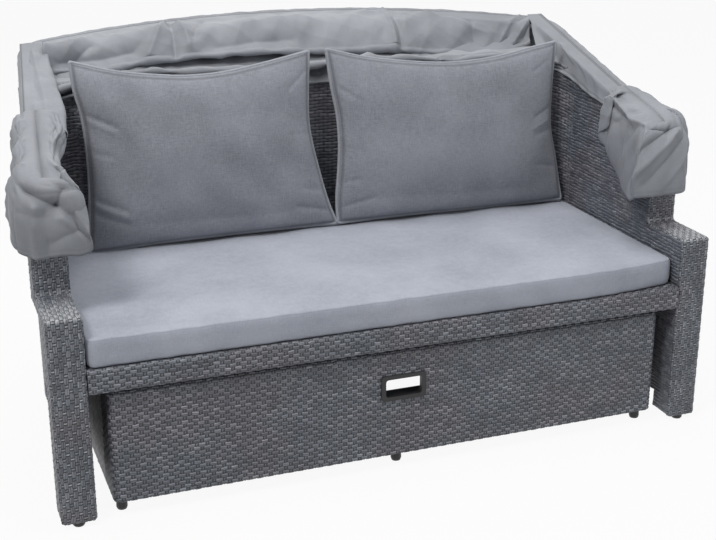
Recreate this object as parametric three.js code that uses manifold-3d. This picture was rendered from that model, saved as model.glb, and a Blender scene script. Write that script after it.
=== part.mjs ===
// Outdoor daybed with a folding canopy: a two-seat woven sofa with stepped arms, a footstool that slides
// out from under the seat, a box seat cushion, two back pillows and three canopy hoops with their fabric.
// Millimetres, +Z up, front towards -Y. The origin is on the floor under the middle of the whole part.
import * as THREE from "three";
import { mergeVertices } from "three/addons/utils/BufferGeometryUtils.js";
import Module from "manifold-3d";

const wasm = await Module();
wasm.setup();

// Overall sizes of the sofa
const overallWidth = 1500;
const sofaDepth = 661;
const armWidth = 73;
const armHeight = 457;
const backHeight = 780;
const originFromFront = 462;

// Clearances
const touchGap = 0.3;
const cutOverrun = 20;

// Arm and wing: a wide woven column and wing front on a thin woven side panel
const skinThickness = 6;
const edgeRadius = 9;
const cornerRadius = 15;
const wovenFootHeight = 12;
const sidePanelBottom = 55;
const footDepth = 73;
const wingStepFromFront = 145;
const wingFrontHeight = 646;
const wingTopLevelFromRear = 21;
const wingColumnDepth = 73;
const armBeamThickness = 32;
const stepFilletRadius = 12;
const panelThickness = 18;
const panelSkin = 2.2;
const panelEdgeRadius = 5;
const panelSetback = 18;
const rearPostWidth = 30;

// Woven back
const backThickness = 31;
const backBottom = 55;
const innerCornerRadius = 110;

// Tube frame of the arms and back
const frameTube = 25;
const frameWall = 2;
const seatRail = 30;
const seatRailTop = 341.7;
const crossbarFromMiddle = 230;
const sofaGlideRadius = 13;
const glideSoleShare = 0.85;
const glideTopShare = 0.94;

// Front apron
const apronDepth = 46;
const apronBottom = 288;
const apronSkin = 6;

// Bolts that join the seat rails to the arms
const boltRadius = 4;
const boltHeadRadius = 8;
const boltHeadHeight = 5;
const boltFromRailEnd = 90;
const boltHoleClearance = 0.4;

// Footstool
const stoolWidth = 1278;
const stoolRearGap = 30;
const stoolFromFront = 17;
const stoolTop = 280;
const stoolSkirtBottom = 32;
const stoolSkin = 8;
const stoolGlideRadius = 12;
const stoolPostSetback = 18;

// Handle in the footstool's front
const handleHoleWidth = 84;
const handleHoleHeight = 41;
const handleFlangeWidth = 104;
const handleFlangeHeight = 59;
const handleFlangeThickness = 4;
const handleLinerWall = 3;
const handleCentreHeight = 196;
const handleCornerRadius = 7;

// Seat cushion
const seatCushionThickness = 62;
const seatCushionCrown = 8;
const seatCushionSideGap = 3;
const seatCushionRearGap = 7;
const seatCushionFrontInset = 2;
const seatCushionEdge = 7;
const seatCushionDraw = 4;
const seatCornerFrontLeft = 16;
const seatCornerFrontRight = 16;
const seatFrontSweep = 24;
const seatFrontSweepLength = 240;
const seatCornerRear = 118;

// Back pillows
const pillowOuterGapLeft = 89;
const pillowOuterGapRight = 20;
const pillowMiddleGap = 12;
const pillowHeight = 437;
const pillowThickness = 126;
const pillowSideDraw = 20;
const pillowTopDraw = 42;
const pillowFootDraw = 4;
const pillowLeftTopTaper = 52;
const pillowRightTopShift = 14;
const pillowPiping = 4;
const pillowCornerRadius = 16;
const pillowLeanDeg = 5;
const pillowFootFromBack = 103;

// Canopy hoops
const hoopTubeRadius = 8;
const hoopTubeWall = 1.5;
const hoopSpacing = 22;
const hoopBehindBack = 259;
const hoopArchRadius = 1900;
const hoopCornerRadius = 55;
const hoopLeftLean = 72;
const hoopPivotBehindStep = 45;
const hoopPivotAboveWing = 15.8;
const hoopTailWall = 3;
const hoopSlopeOverWingDeg = 0.25;

// Hoop brackets
const bracketLength = 44;
const bracketPlate = 2.5;
const bracketSideGap = 3.5;
const bracketCheekAbovePivot = 13;
const pivotBoltRadius = 4;
const pivotHeadRadius = 8;
const pivotHeadHeight = 5;
const pivotNutHeight = 7;

// Canopy cloth
const clothThickness = 3;
const pocketWall = 2.5;
const pocketStart = 70;
const drapeLift = 13;
const drapeHang = 62;
const drapeFoldHeight = 9;
const drapeFoldDepth = 2.5;
const drapeHemWave = 7;
const drapeFoldCount = 7;
const drapeStart = 95;
const curtainDrop = 95;
const curtainWidth = 13;
const curtainWave = 3;
const curtainFoldCount = 9;
const curtainHalf = 590;
const tailHalf = 545;
const tailSag = 46;
const tailBelowTop = 12;
const tailWave = 5;
const bagClearance = 9.5;
const bagWall = 5;
const bagBelly = 22;
const bagLength = 128;
const bagHeight = 176;
const bagAbovePivot = 24;
const bagFoldDepth = 3.5;
const bagFoldCount = 5;

// Shares that shape the soft outlines
const crownRingShares = [0.04, 0.1, 0.2, 0.34, 0.52, 0.74];
const pillowSeatCrownShare = 0.734;
const pillowRingShares = [0.0, 0.035, 0.1, 0.2, 0.34, 0.52, 0.74];

// Finishes
const finish = (color, roughness, metalness = 0) =>
  new THREE.MeshStandardMaterial({ color, roughness, metalness });
const wicker = finish(0x4a4c52, 0.6);
const cushionFabric = finish(0x9498a4, 0.95);
const pillowFabric = finish(0x7c7f88, 0.95);
const canopyFabric = finish(0x8f949c, 0.85);
const frameMetal = finish(0x3a3b3e, 0.45, 0.6);
const boltMetal = finish(0xa8abb0, 0.35, 0.9);
const blackPlastic = finish(0x1b1c1e, 0.5);

const part = new THREE.Group();
const sofa = new THREE.Group();
sofa.position.y = -originFromFront;
part.add(sofa);

const sides = [
  { name: "left", sign: -1 },
  { name: "right", sign: 1 },
];
const radians = THREE.MathUtils.degToRad;

// Derived places that several pieces share
const halfWidth = overallWidth / 2;
const innerHalf = halfWidth - armWidth;
const cavityWidth = armWidth - 2 * skinThickness;
const tubeWidth = cavityWidth - 2 * touchGap;
const armCentre = halfWidth - armWidth / 2;
const panelOuter = innerHalf + panelThickness;
const panelCentre = innerHalf + panelThickness / 2;
const backHalf = panelOuter - rearPostWidth - touchGap;
const rearPostFront = sofaDepth - backThickness + 2 * touchGap;
const backFront = sofaDepth - backThickness;
const wingLevelStart = sofaDepth - wingTopLevelFromRear;
const wingSlope = (backHeight - wingFrontHeight) / (wingLevelStart - wingStepFromFront);
const seatRailBottom = seatRailTop - seatRail;
const railMiddleHeight = seatRailTop - seatRail / 2;
const seatCushionBottom = seatRailTop + touchGap;
const stoolDepth = backFront - stoolRearGap - stoolFromFront;
const hoopAngle = Math.atan(wingSlope) + radians(hoopSlopeOverWingDeg);
const hoopPivotFromFront = wingStepFromFront + hoopPivotBehindStep;
const hoopPivotHeight = wingFrontHeight + hoopPivotBehindStep * wingSlope + hoopPivotAboveWing;
const hoopHalfWidth = armCentre + hoopSpacing;
const bracketWidth = 2 * (hoopSpacing + hoopTubeRadius + bracketSideGap + bracketPlate);
const hoopReach = (sofaDepth + hoopBehindBack - hoopPivotFromFront) / Math.cos(hoopAngle);
const pillowWidth = (2 * innerHalf - pillowOuterGapLeft - pillowOuterGapRight - pillowMiddleGap) / 2;

// Adds one named piece to the sofa.
function addPiece(name, geometry, material, parent = sofa) {
  const mesh = new THREE.Mesh(geometry, material);
  mesh.name = name;
  parent.add(mesh);
  return mesh;
}

// A manifold solid from a closed three.js geometry.
function toSolid(geometry) {
  const bare = geometry.clone();
  bare.deleteAttribute("normal");
  bare.deleteAttribute("uv");
  const merged = mergeVertices(bare, 1e-4);
  return new wasm.Manifold(
    new wasm.Mesh({
      numProp: 3,
      vertProperties: new Float32Array(merged.attributes.position.array),
      triVerts: new Uint32Array(merged.index.array),
    }),
  );
}

// A three.js geometry from a manifold solid.
function toGeometry(solid) {
  const mesh = solid.getMesh();
  const geometry = new THREE.BufferGeometry();
  geometry.setAttribute("position", new THREE.BufferAttribute(mesh.vertProperties, 3));
  geometry.setIndex(new THREE.BufferAttribute(mesh.triVerts, 1));
  geometry.computeVertexNormals();
  return geometry;
}

const cut = (body, ...tools) => toGeometry(tools.reduce((s, t) => s.subtract(toSolid(t)), toSolid(body)));

// A block between two corners.
function block(low, high) {
  const size = high.map((v, i) => v - low[i]);
  const middle = high.map((v, i) => (v + low[i]) / 2);
  return new THREE.BoxGeometry(...size).translate(...middle);
}

// A square tube between two corners, open at both ends of one axis (0 is X, 1 is Y, 2 is Z).
function tube(low, high, axis) {
  const boreLow = low.map((v, i) => (i === axis ? v - cutOverrun : v + frameWall));
  const boreHigh = high.map((v, i) => (i === axis ? v + cutOverrun : v - frameWall));
  return cut(block(low, high), block(boreLow, boreHigh));
}

// A cylinder along X between two places.
function rodAlongX(radius, x0, x1, y, z, facets = 16) {
  return new THREE.CylinderGeometry(radius, radius, Math.abs(x1 - x0), facets)
    .rotateZ(Math.PI / 2)
    .translate((x0 + x1) / 2, y, z);
}

// Turns an extrusion so that its outline lies in Y and Z and its length runs along X.
function alongX(geometry, x0) {
  const basis = new THREE.Matrix4().makeBasis(
    new THREE.Vector3(0, 1, 0),
    new THREE.Vector3(0, 0, 1),
    new THREE.Vector3(1, 0, 0),
  );
  return geometry.applyMatrix4(basis).translate(x0, 0, 0);
}

// A closed shape from points, with each corner that has a radius rounded by an arc.
function roundedShape(corners) {
  const shape = new THREE.Shape();
  const count = corners.length;
  corners.forEach(([px, py, radius], i) => {
    const here = new THREE.Vector2(px, py);
    const back = new THREE.Vector2(...corners[(i + count - 1) % count].slice(0, 2)).sub(here).normalize();
    const next = new THREE.Vector2(...corners[(i + 1) % count].slice(0, 2)).sub(here).normalize();
    const half = Math.acos(THREE.MathUtils.clamp(back.dot(next), -1, 1)) / 2;
    const along = radius ? radius / Math.tan(half) : 0;
    const start = here.clone().addScaledVector(back, along);
    const end = here.clone().addScaledVector(next, along);
    if (i === 0) shape.moveTo(start.x, start.y);
    else shape.lineTo(start.x, start.y);
    if (radius) shape.quadraticCurveTo(here.x, here.y, end.x, end.y);
  });
  shape.closePath();
  return shape;
}

// The height of the wing's sloping top at a distance from the front.
const wingTopAt = (y) => Math.min(backHeight, wingFrontHeight + (y - wingStepFromFront) * wingSlope);

// The side outline of the arm's wide part, drawn in by an inset, in Y and Z: column, arm top and wing front.
function columnOutline(inset, footBottom) {
  const radius = inset ? 0 : cornerRadius;
  const slopeInset = inset * Math.sqrt(1 + wingSlope ** 2);
  const front = inset;
  const footRear = footDepth - inset;
  const step = wingStepFromFront + inset;
  const wingRear = wingStepFromFront + wingColumnDepth - inset;
  const beamLow = armHeight - armBeamThickness + inset;
  return roundedShape([
    [front, footBottom, 0],
    [footRear, footBottom, 0],
    [footRear, beamLow, 0],
    [wingRear, beamLow, 0],
    [wingRear, wingTopAt(wingRear) - slopeInset, 0],
    [step, wingTopAt(step) - slopeInset, radius],
    [step, armHeight - inset, inset ? 0 : stepFilletRadius],
    [front, armHeight - inset, radius],
  ]);
}

// The side outline of the thin panel behind the column and under the wing's sloping top, in Y and Z.
function panelOutline(inset) {
  const slopeInset = inset * Math.sqrt(1 + wingSlope ** 2);
  const front = panelSetback + inset;
  const wing = wingStepFromFront + panelSetback + inset;
  const rear = sofaDepth - panelEdgeRadius - inset;
  const low = sidePanelBottom + inset;
  const armTop = armHeight - panelSetback - inset;
  return roundedShape([
    [front, low, 0],
    [rear, low, 0],
    [rear, backHeight - inset, 0],
    [wingLevelStart, backHeight - inset, 0],
    [wing, wingTopAt(wing) - slopeInset, 0],
    [wing, armTop, 0],
    [front, armTop, 0],
  ]);
}

// An outline in Y and Z made a solid of a width along X round a centre, with rounded edges.
function roundedSlab(outline, width, edge, centreX) {
  const slab = new THREE.ExtrudeGeometry(outline, {
    depth: width - 2 * edge,
    bevelEnabled: edge > 0,
    bevelThickness: edge,
    bevelSize: edge,
    bevelOffset: -edge,
    bevelSegments: 2,
    curveSegments: 3,
  });
  return toSolid(alongX(slab, centreX - (width - 2 * edge) / 2));
}

// Arms: a wide woven column and a thin side panel, hollow, open under the feet, with a rear corner post
function makeArm({ name, sign }) {
  const panelX = sign * panelCentre;
  const postCentre = sign * (panelOuter - rearPostWidth / 2);
  const post = (inset, low, high) => {
    const half = rearPostWidth / 2 - inset;
    const lowCorner = [postCentre - half, rearPostFront + inset, low];
    return block(lowCorner, [postCentre + half, sofaDepth - inset, high]);
  };
  const outer = roundedSlab(columnOutline(0, wovenFootHeight), armWidth, edgeRadius, sign * armCentre)
    .add(roundedSlab(panelOutline(0), panelThickness, panelEdgeRadius, panelX))
    .add(toSolid(post(0, wovenFootHeight, backHeight)));
  const footOpening = wovenFootHeight - cutOverrun;
  const hollow = roundedSlab(columnOutline(skinThickness, footOpening), cavityWidth, 0, sign * armCentre)
    .add(roundedSlab(panelOutline(panelSkin), panelThickness - 2 * panelSkin, 0, panelX))
    .add(toSolid(post(panelSkin, footOpening, backHeight - panelSkin)));
  const holes = boltPlaces().map((y) => boltHole(sign, innerHalf - cutOverrun, y));
  const solid = holes.reduce((body, hole) => body.subtract(toSolid(hole)), outer.subtract(hollow));
  addPiece(`arm_weave_${name}`, toGeometry(solid), wicker);
  makeArmFrame(name, sign);
}

// The hole for a seat bolt, from a place inside the sofa to the middle of the side panel.
function boltHole(sign, fromX, y) {
  return rodAlongX(boltRadius + boltHoleClearance, sign * fromX, sign * panelCentre, y, railMiddleHeight);
}

// The distances from the front at which the bolts pass through a seat side rail.
function boltPlaces() {
  const start = apronDepth + touchGap;
  const end = backFront - touchGap;
  return [start + boltFromRailEnd, end - boltFromRailEnd];
}

// The tube frame inside an arm: three posts and the rail that the seat bolts to.
function makeArmFrame(name, sign) {
  const acrossFrom = (centre, width) => [sign * centre - width / 2, sign * centre + width / 2];
  const inside = skinThickness + touchGap;
  const thin = panelSkin + touchGap;
  const column = acrossFrom(armCentre, tubeWidth);
  const panel = acrossFrom(panelCentre, panelThickness - 2 * thin);
  const corner = acrossFrom(panelOuter - rearPostWidth / 2, frameTube);
  const frontEnd = inside + frameTube;
  const wingFront = wingStepFromFront + panelSetback + thin;
  const rearStart = rearPostFront + thin;
  const slopeInside = thin * Math.sqrt(1 + wingSlope ** 2);
  const wingPostTop = wingTopAt(wingFront) - slopeInside;
  const posts = {
    post_front: [column, inside, frontEnd, wovenFootHeight, armHeight - inside],
    post_wing: [panel, wingFront, wingFront + frameTube, seatRailTop + touchGap, wingPostTop],
    post_rear: [corner, rearStart, rearStart + frameTube, wovenFootHeight, backHeight - thin],
  };
  for (const [post, [xs, y0, y1, z0, z1]] of Object.entries(posts))
    addPiece(`arm_${post}_${name}`, tube([xs[0], y0, z0], [xs[1], y1, z1], 2), frameMetal);
  const railStart = [panel[0], frontEnd + touchGap, seatRailBottom];
  const rail = tube(railStart, [panel[1], rearStart - touchGap, seatRailTop], 1);
  const holes = boltPlaces().map((y) => boltHole(sign, innerHalf - cutOverrun, y));
  addPiece(`arm_rail_${name}`, cut(rail, ...holes), frameMetal);
}

// Woven back: a hollow slab with a rounded inner corner at each wing
function makeBack() {
  const cornerHalf = innerHalf - touchGap;
  const slab = block([-backHalf, backFront, backBottom], [backHalf, sofaDepth, backHeight]);
  const hollow = block(
    [-backHalf + panelSkin, backFront + panelSkin, backBottom - cutOverrun],
    [backHalf - panelSkin, sofaDepth - panelSkin, backHeight - panelSkin],
  );
  let solid = toSolid(slab).subtract(toSolid(hollow));
  for (const { sign } of sides) solid = solid.add(innerCorner(sign, cornerHalf));
  const lid = wingTopCutter(cornerHalf);
  addPiece("back_weave", toGeometry(solid.subtract(lid)), wicker);
  makeBackFrame(backHalf);
}

// The concave woven corner between the back and a wing, above the seat.
function innerCorner(sign, half) {
  const shape = new THREE.Shape();
  const reach = innerCornerRadius;
  shape.moveTo(0, 0);
  shape.lineTo(-reach, 0);
  shape.absarc(-reach, -reach, reach, Math.PI / 2, 0, true);
  shape.closePath();
  const corner = new THREE.ExtrudeGeometry(shape, {
    depth: backHeight - seatCushionBottom,
    bevelEnabled: false,
    curveSegments: 8,
  });
  if (sign < 0) corner.rotateZ(Math.PI / 2);
  corner.translate(sign * half, backFront + touchGap / 2, seatCushionBottom);
  return toSolid(corner);
}

// A wedge that trims the inner corners to the wing's sloping top.
function wingTopCutter(half) {
  const y0 = backFront - innerCornerRadius - cutOverrun;
  const top = backHeight + cutOverrun * 2;
  const shape = new THREE.Shape([
    new THREE.Vector2(y0, wingTopAt(y0)),
    new THREE.Vector2(wingLevelStart, backHeight),
    new THREE.Vector2(wingLevelStart, top),
    new THREE.Vector2(y0, top),
  ]);
  const width = 2 * (half + cutOverrun);
  return toSolid(alongX(new THREE.ExtrudeGeometry(shape, { depth: width, bevelEnabled: false }), -width / 2));
}

// The tube frame inside the back: a post at each end and the rails between them.
function makeBackFrame(half) {
  const inside = panelSkin + touchGap;
  const y0 = backFront + inside;
  const y1 = sofaDepth - inside;
  const top = backHeight - inside;
  const postInner = half - inside - frameTube;
  for (const { name, sign } of sides) {
    const xs = [sign * postInner, sign * (half - inside)].sort((a, b) => a - b);
    addPiece(`back_post_${name}`, tube([xs[0], y0, backBottom], [xs[1], y1, top], 2), frameMetal);
  }
  const railEnd = postInner - touchGap;
  addPiece("back_rail_top", tube([-railEnd, y0, top - frameTube], [railEnd, y1, top], 0), frameMetal);
  addPiece(
    "back_rail_seat",
    tube([-railEnd, y0, seatRailBottom], [railEnd, y1, seatRailTop], 0),
    frameMetal,
  );
}

// Seat frame: rails between the arms, crossbars, the bolts into the arms and the woven front apron
function makeSeat() {
  const outer = innerHalf - touchGap;
  const inner = outer - seatRail;
  const frontEdge = apronDepth + touchGap;
  const rearEdge = backFront - touchGap;
  const rail = (name, axis, x0, x1, y0, y1, holes = []) => {
    const body = tube([x0, y0, seatRailBottom], [x1, y1, seatRailTop], axis);
    addPiece(name, cut(body, ...holes), frameMetal);
  };
  for (const { name, sign } of sides) {
    const xs = [sign * inner, sign * outer].sort((a, b) => a - b);
    const holes = boltPlaces().map((y) =>
      rodAlongX(
        boltRadius + boltHoleClearance,
        sign * (inner - cutOverrun),
        sign * (outer + cutOverrun),
        y,
        railMiddleHeight,
      ),
    );
    rail(`seat_rail_${name}`, 1, xs[0], xs[1], frontEdge, rearEdge, holes);
    boltPlaces().forEach((y, i) => addSeatBolt(`seat_bolt_${name}_${i ? "rear" : "front"}`, sign, y, inner));
  }
  const railEnd = inner - touchGap;
  rail("seat_rail_rear", 0, -railEnd, railEnd, rearEdge - seatRail, rearEdge);
  for (const { name, sign } of sides) {
    const x = sign * crossbarFromMiddle;
    const end = rearEdge - seatRail - touchGap;
    rail(`seat_crossbar_${name}`, 1, x - seatRail / 2, x + seatRail / 2, frontEdge, end);
  }
  makeApron(outer);
}

// A hexagon-headed bolt through a seat rail into the arm, head against the rail.
function addSeatBolt(name, sign, y, railInner) {
  const headStart = railInner - boltHeadHeight - touchGap;
  const headEnd = headStart + boltHeadHeight;
  const head = rodAlongX(boltHeadRadius, sign * headStart, sign * headEnd, y, railMiddleHeight, 6);
  const shank = rodAlongX(
    boltRadius,
    sign * (headStart + boltHeadHeight / 2),
    sign * (panelCentre - touchGap),
    y,
    railMiddleHeight,
  );
  addPiece(name, toGeometry(toSolid(head).add(toSolid(shank))), boltMetal);
}

// The woven apron is a sleeve round the front rail.
function makeApron(outer) {
  const outline = roundedShape([
    [0, apronBottom, edgeRadius],
    [apronDepth, apronBottom, 0],
    [apronDepth, seatRailTop, 0],
    [0, seatRailTop, edgeRadius],
  ]);
  const sleeve = alongX(
    new THREE.ExtrudeGeometry(outline, { depth: 2 * outer, bevelEnabled: false, curveSegments: 3 }),
    -outer,
  );
  const inside = [
    [apronSkin + touchGap, apronBottom + apronSkin + touchGap],
    [apronDepth - apronSkin - touchGap, seatRailTop - apronSkin - touchGap],
  ];
  const bore = block(
    [-outer - cutOverrun, ...inside[0].map((v) => v - touchGap)],
    [outer + cutOverrun, ...inside[1].map((v) => v + touchGap)],
  );
  addPiece("seat_apron_weave", cut(sleeve, bore), wicker);
  addPiece("seat_rail_front", tube([-outer, ...inside[0]], [outer, ...inside[1]], 0), frameMetal);
}

// Round plastic glides under the posts
function makeGlide(name, x, y, top, radius, parent = sofa) {
  const profile = [
    [0, 0],
    [radius * glideSoleShare, 0],
    [radius, top / 4],
    [radius, top / 2],
    [radius * glideTopShare, top],
    [0, top],
  ].map(([r, z]) => new THREE.Vector2(r, z));
  const geometry = new THREE.LatheGeometry(profile, 16).rotateX(Math.PI / 2).translate(x, y, 0);
  addPiece(name, geometry, blackPlastic, parent);
}

function makeSofaGlides() {
  const top = wovenFootHeight - touchGap;
  const frontY = skinThickness + touchGap + frameTube / 2;
  const rearY = rearPostFront + panelSkin + touchGap + frameTube / 2;
  for (const { name, sign } of sides) {
    makeGlide(`glide_front_${name}`, sign * armCentre, frontY, top, sofaGlideRadius);
    makeGlide(`glide_rear_${name}`, sign * (panelOuter - rearPostWidth / 2), rearY, top, sofaGlideRadius);
  }
}

// Footstool: a woven box open underneath, its posts, rails, glides and the pull handle
function makeFootstool() {
  const half = stoolWidth / 2;
  const front = stoolFromFront;
  const rear = front + stoolDepth;
  const outline = roundedShape([
    [-half, front, cornerRadius],
    [half, front, cornerRadius],
    [half, rear, cornerRadius],
    [-half, rear, cornerRadius],
  ]);
  const shell = new THREE.ExtrudeGeometry(outline, {
    depth: stoolTop - stoolSkirtBottom - edgeRadius,
    bevelThickness: edgeRadius,
    bevelSize: edgeRadius,
    bevelOffset: -edgeRadius,
    bevelSegments: 2,
    curveSegments: 3,
  }).translate(0, 0, stoolSkirtBottom);
  const trim = block(
    [-half - cutOverrun, front - cutOverrun, stoolSkirtBottom - cutOverrun],
    [half + cutOverrun, rear + cutOverrun, stoolSkirtBottom],
  );
  const hollow = block(
    [-half + stoolSkin, front + stoolSkin, stoolSkirtBottom - cutOverrun],
    [half - stoolSkin, rear - stoolSkin, stoolTop - stoolSkin],
  );
  const linerWidth = handleHoleWidth + 2 * handleLinerWall;
  const linerHeight = handleHoleHeight + 2 * handleLinerWall;
  const slotWidth = linerWidth + 2 * touchGap;
  const slot = handleTube(slotWidth, linerHeight + 2 * touchGap, front - cutOverrun, front + cutOverrun);
  addPiece("footstool_weave", cut(shell, trim, hollow, slot), wicker);
  makeHandle(front, linerWidth, linerHeight);
  makeStoolFrame(half, front, rear);
}

// A rounded rectangular block through the footstool's front, centred on the handle.
function handleTube(width, height, y0, y1) {
  const outline = roundedShape([
    [-width / 2, -height / 2, handleCornerRadius],
    [width / 2, -height / 2, handleCornerRadius],
    [width / 2, height / 2, handleCornerRadius],
    [-width / 2, height / 2, handleCornerRadius],
  ]);
  return new THREE.ExtrudeGeometry(outline, { depth: y1 - y0, bevelEnabled: false, curveSegments: 4 })
    .rotateX(Math.PI / 2)
    .translate(0, y1, handleCentreHeight);
}

// The handle is a flanged liner, its flange in front of the weave.
function makeHandle(front, linerWidth, linerHeight) {
  const flangeBack = front - touchGap;
  const flangeFront = flangeBack - handleFlangeThickness;
  const flange = handleTube(handleFlangeWidth, handleFlangeHeight, flangeFront, flangeBack);
  const liner = handleTube(linerWidth, linerHeight, flangeFront, front + stoolSkin);
  const holeEnd = front + stoolSkin + cutOverrun;
  const hole = handleTube(handleHoleWidth, handleHoleHeight, flangeFront - cutOverrun, holeEnd);
  const solid = toSolid(flange).add(toSolid(liner)).subtract(toSolid(hole));
  addPiece("footstool_handle", toGeometry(solid), blackPlastic);
}

// Posts in the corners and the middle of the front, with a rail along the front and the rear.
function makeStoolFrame(half, front, rear) {
  const inside = stoolSkin + touchGap;
  const top = stoolTop - inside;
  const foot = stoolSkirtBottom - stoolGlideRadius;
  const rows = { front: front + inside + stoolPostSetback, rear: rear - inside - frameTube };
  for (const [row, y0] of Object.entries(rows)) {
    const xs = { left: -half + inside, right: half - inside - frameTube };
    if (row === "front") xs.middle = -frameTube / 2;
    for (const [place, x0] of Object.entries(xs)) {
      const postTop = place === "middle" ? handleCentreHeight - handleFlangeHeight / 2 - frameTube : top;
      const name = `footstool_post_${row}_${place}`;
      addPiece(name, tube([x0, y0, foot], [x0 + frameTube, y0 + frameTube, postTop], 2), frameMetal);
      makeGlide(
        `footstool_glide_${row}_${place}`,
        x0 + frameTube / 2,
        y0 + frameTube / 2,
        foot - touchGap,
        stoolGlideRadius,
      );
    }
    const railEnd = half - inside - frameTube - touchGap;
    const isFront = row === "front";
    const railTop = isFront ? handleCentreHeight - handleFlangeHeight / 2 - touchGap : top;
    addPiece(
      `footstool_rail_${row}`,
      tube([-railEnd, y0, railTop - frameTube + touchGap], [railEnd, y0 + frameTube, railTop], 0),
      frameMetal,
    );
  }
}

// A closed skin over rings of points that share one count, with a point at each end.
function ringSkin(rings, first, last) {
  const count = rings[0].length;
  const points = [first, ...rings.flat(), last];
  const index = [];
  for (let i = 0; i < count; i += 1) {
    const j = (i + 1) % count;
    index.push(0, 1 + j, 1 + i);
    const end = 1 + (rings.length - 1) * count;
    index.push(points.length - 1, end + i, end + j);
    for (let k = 0; k + 1 < rings.length; k += 1) {
      const a = 1 + k * count;
      const b = a + count;
      index.push(a + i, a + j, b + j, a + i, b + j, b + i);
    }
  }
  const geometry = new THREE.BufferGeometry();
  geometry.setAttribute("position", new THREE.Float32BufferAttribute(points.flat(), 3));
  geometry.setIndex(index);
  geometry.computeVertexNormals();
  return geometry;
}

// Points round a rectangle with a radius at each corner, whose sides bow inwards, each by its own draw.
function softOutline(halfX, halfY, radii, draws, sideSteps, cornerSteps) {
  const corners = [
    [-1, -1, Math.PI],
    [1, -1, 1.5 * Math.PI],
    [1, 1, 0],
    [-1, 1, Math.PI / 2],
  ];
  const arcs = corners.map(([sx, sy, start], i) => {
    const r = radii[i];
    return Array.from({ length: cornerSteps + 1 }, (_, k) => {
      const a = start + (k / cornerSteps) * (Math.PI / 2);
      return [sx * (halfX - r) + r * Math.cos(a), sy * (halfY - r) + r * Math.sin(a)];
    });
  });
  const points = [];
  arcs.forEach((arc, i) => {
    points.push(...arc);
    const from = arc[cornerSteps];
    const to = arcs[(i + 1) % 4][0];
    for (let k = 1; k < sideSteps; k += 1) {
      const t = k / sideSteps;
      const bow = draws[i] * Math.sin(Math.PI * t);
      const x = THREE.MathUtils.lerp(from[0], to[0], t);
      const y = THREE.MathUtils.lerp(from[1], to[1], t);
      const sideIsAlongX = i % 2 === 0;
      points.push(sideIsAlongX ? [x, y - Math.sign(y) * bow] : [x - Math.sign(x) * bow, y]);
    }
  });
  return points;
}

// Seat cushion: a box cushion with a crowned top, soft edges and a front edge that sweeps back at the right
function makeSeatCushion() {
  const halfX = innerHalf - seatCushionSideGap;
  const halfY = (backFront - seatCushionRearGap - seatCushionFrontInset) / 2;
  const centreY = seatCushionFrontInset + halfY;
  const top = seatCushionBottom + seatCushionThickness;
  const edge = seatCushionEdge;
  const sweepAt = (x, y) => {
    const along = Math.max(0, (x - halfX + seatFrontSweepLength) / seatFrontSweepLength);
    return seatFrontSweep * along ** 2 * Math.max(0, -y / halfY);
  };
  const ring = (inset, z) => {
    const radii = [seatCornerFrontLeft, seatCornerFrontRight, seatCornerRear, seatCornerRear];
    const soft = radii.map((r) => Math.max(r - inset, edge / 2));
    const draws = [0, seatCushionDraw / 4, seatCushionDraw, seatCushionDraw / 4];
    return softOutline(halfX - inset, halfY - inset, soft, draws, 7, 4).map(([x, y]) => [
      x,
      y + centreY + sweepAt(x, y),
      z,
    ]);
  };
  const rings = [
    ring(edge, seatCushionBottom),
    ring(edge / 4, seatCushionBottom + edge / 3),
    ring(0, seatCushionBottom + edge),
    ring(0, top - edge),
    ring(edge / 4, top - edge / 3),
  ];
  for (const share of crownRingShares) {
    const lift = seatCushionCrown * Math.sin((Math.PI / 2) * Math.sqrt(share));
    rings.push(ring(edge + share * (halfY - 2 * edge), top + lift));
  }
  const middle = (z) => [0, centreY, z];
  addPiece(
    "seat_cushion",
    ringSkin(rings, middle(seatCushionBottom), middle(top + seatCushionCrown)),
    cushionFabric,
  );
}

// Back pillows: knife-edged, plump in the middle, with drawn-in sides and a piped edge
function makePillow(name, centreX, topTaper, topShift) {
  const halfX = pillowWidth / 2;
  const halfZ = pillowHeight / 2;
  const ring = (inset, y) => {
    const r = Math.max(pillowCornerRadius - inset / 4, pillowCornerRadius / 4);
    const fade = 1 - inset / halfZ;
    const draws = [pillowFootDraw, pillowSideDraw, pillowTopDraw, pillowSideDraw].map((draw) => draw * fade);
    return softOutline(halfX - inset, halfZ - inset, [r, r, r, r], draws, 6, 2).map(([x, z]) => {
      const height = (z + halfZ) / pillowHeight;
      return [x - height * (topShift + (topTaper * (x + halfX)) / pillowWidth), y, z];
    });
  };
  const edge = pillowPiping / 2;
  const swell = (share) => edge + (pillowThickness / 2 - edge) * Math.sin((Math.PI / 2) * share ** 0.62);
  const rear = pillowRingShares.map((share) => ring(share * halfZ, swell(share))).reverse();
  const front = pillowRingShares.map((share) => ring(share * halfZ, -swell(share)));
  const half = pillowThickness / 2;
  const geometry = ringSkin([...rear, ...front], [0, half, 0], [0, -half, 0]);
  const pillow = addPiece(name, geometry, pillowFabric);
  const lean = radians(pillowLeanDeg);
  const crownThere = seatCushionCrown * pillowSeatCrownShare;
  const cushionUnderPillow = seatCushionBottom + seatCushionThickness + crownThere + touchGap;
  pillow.rotation.x = -lean;
  pillow.position.set(
    centreX,
    backFront - pillowFootFromBack + halfZ * Math.sin(lean),
    cushionUnderPillow + halfZ * Math.cos(lean),
  );
}

// A point of the folded canopy: across, along the slope from the pivot, and square to the slope.
function onSlope(x, along, above) {
  return [
    x,
    hoopPivotFromFront + along * Math.cos(hoopAngle) - above * Math.sin(hoopAngle),
    hoopPivotHeight + along * Math.sin(hoopAngle) + above * Math.cos(hoopAngle),
  ];
}

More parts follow.
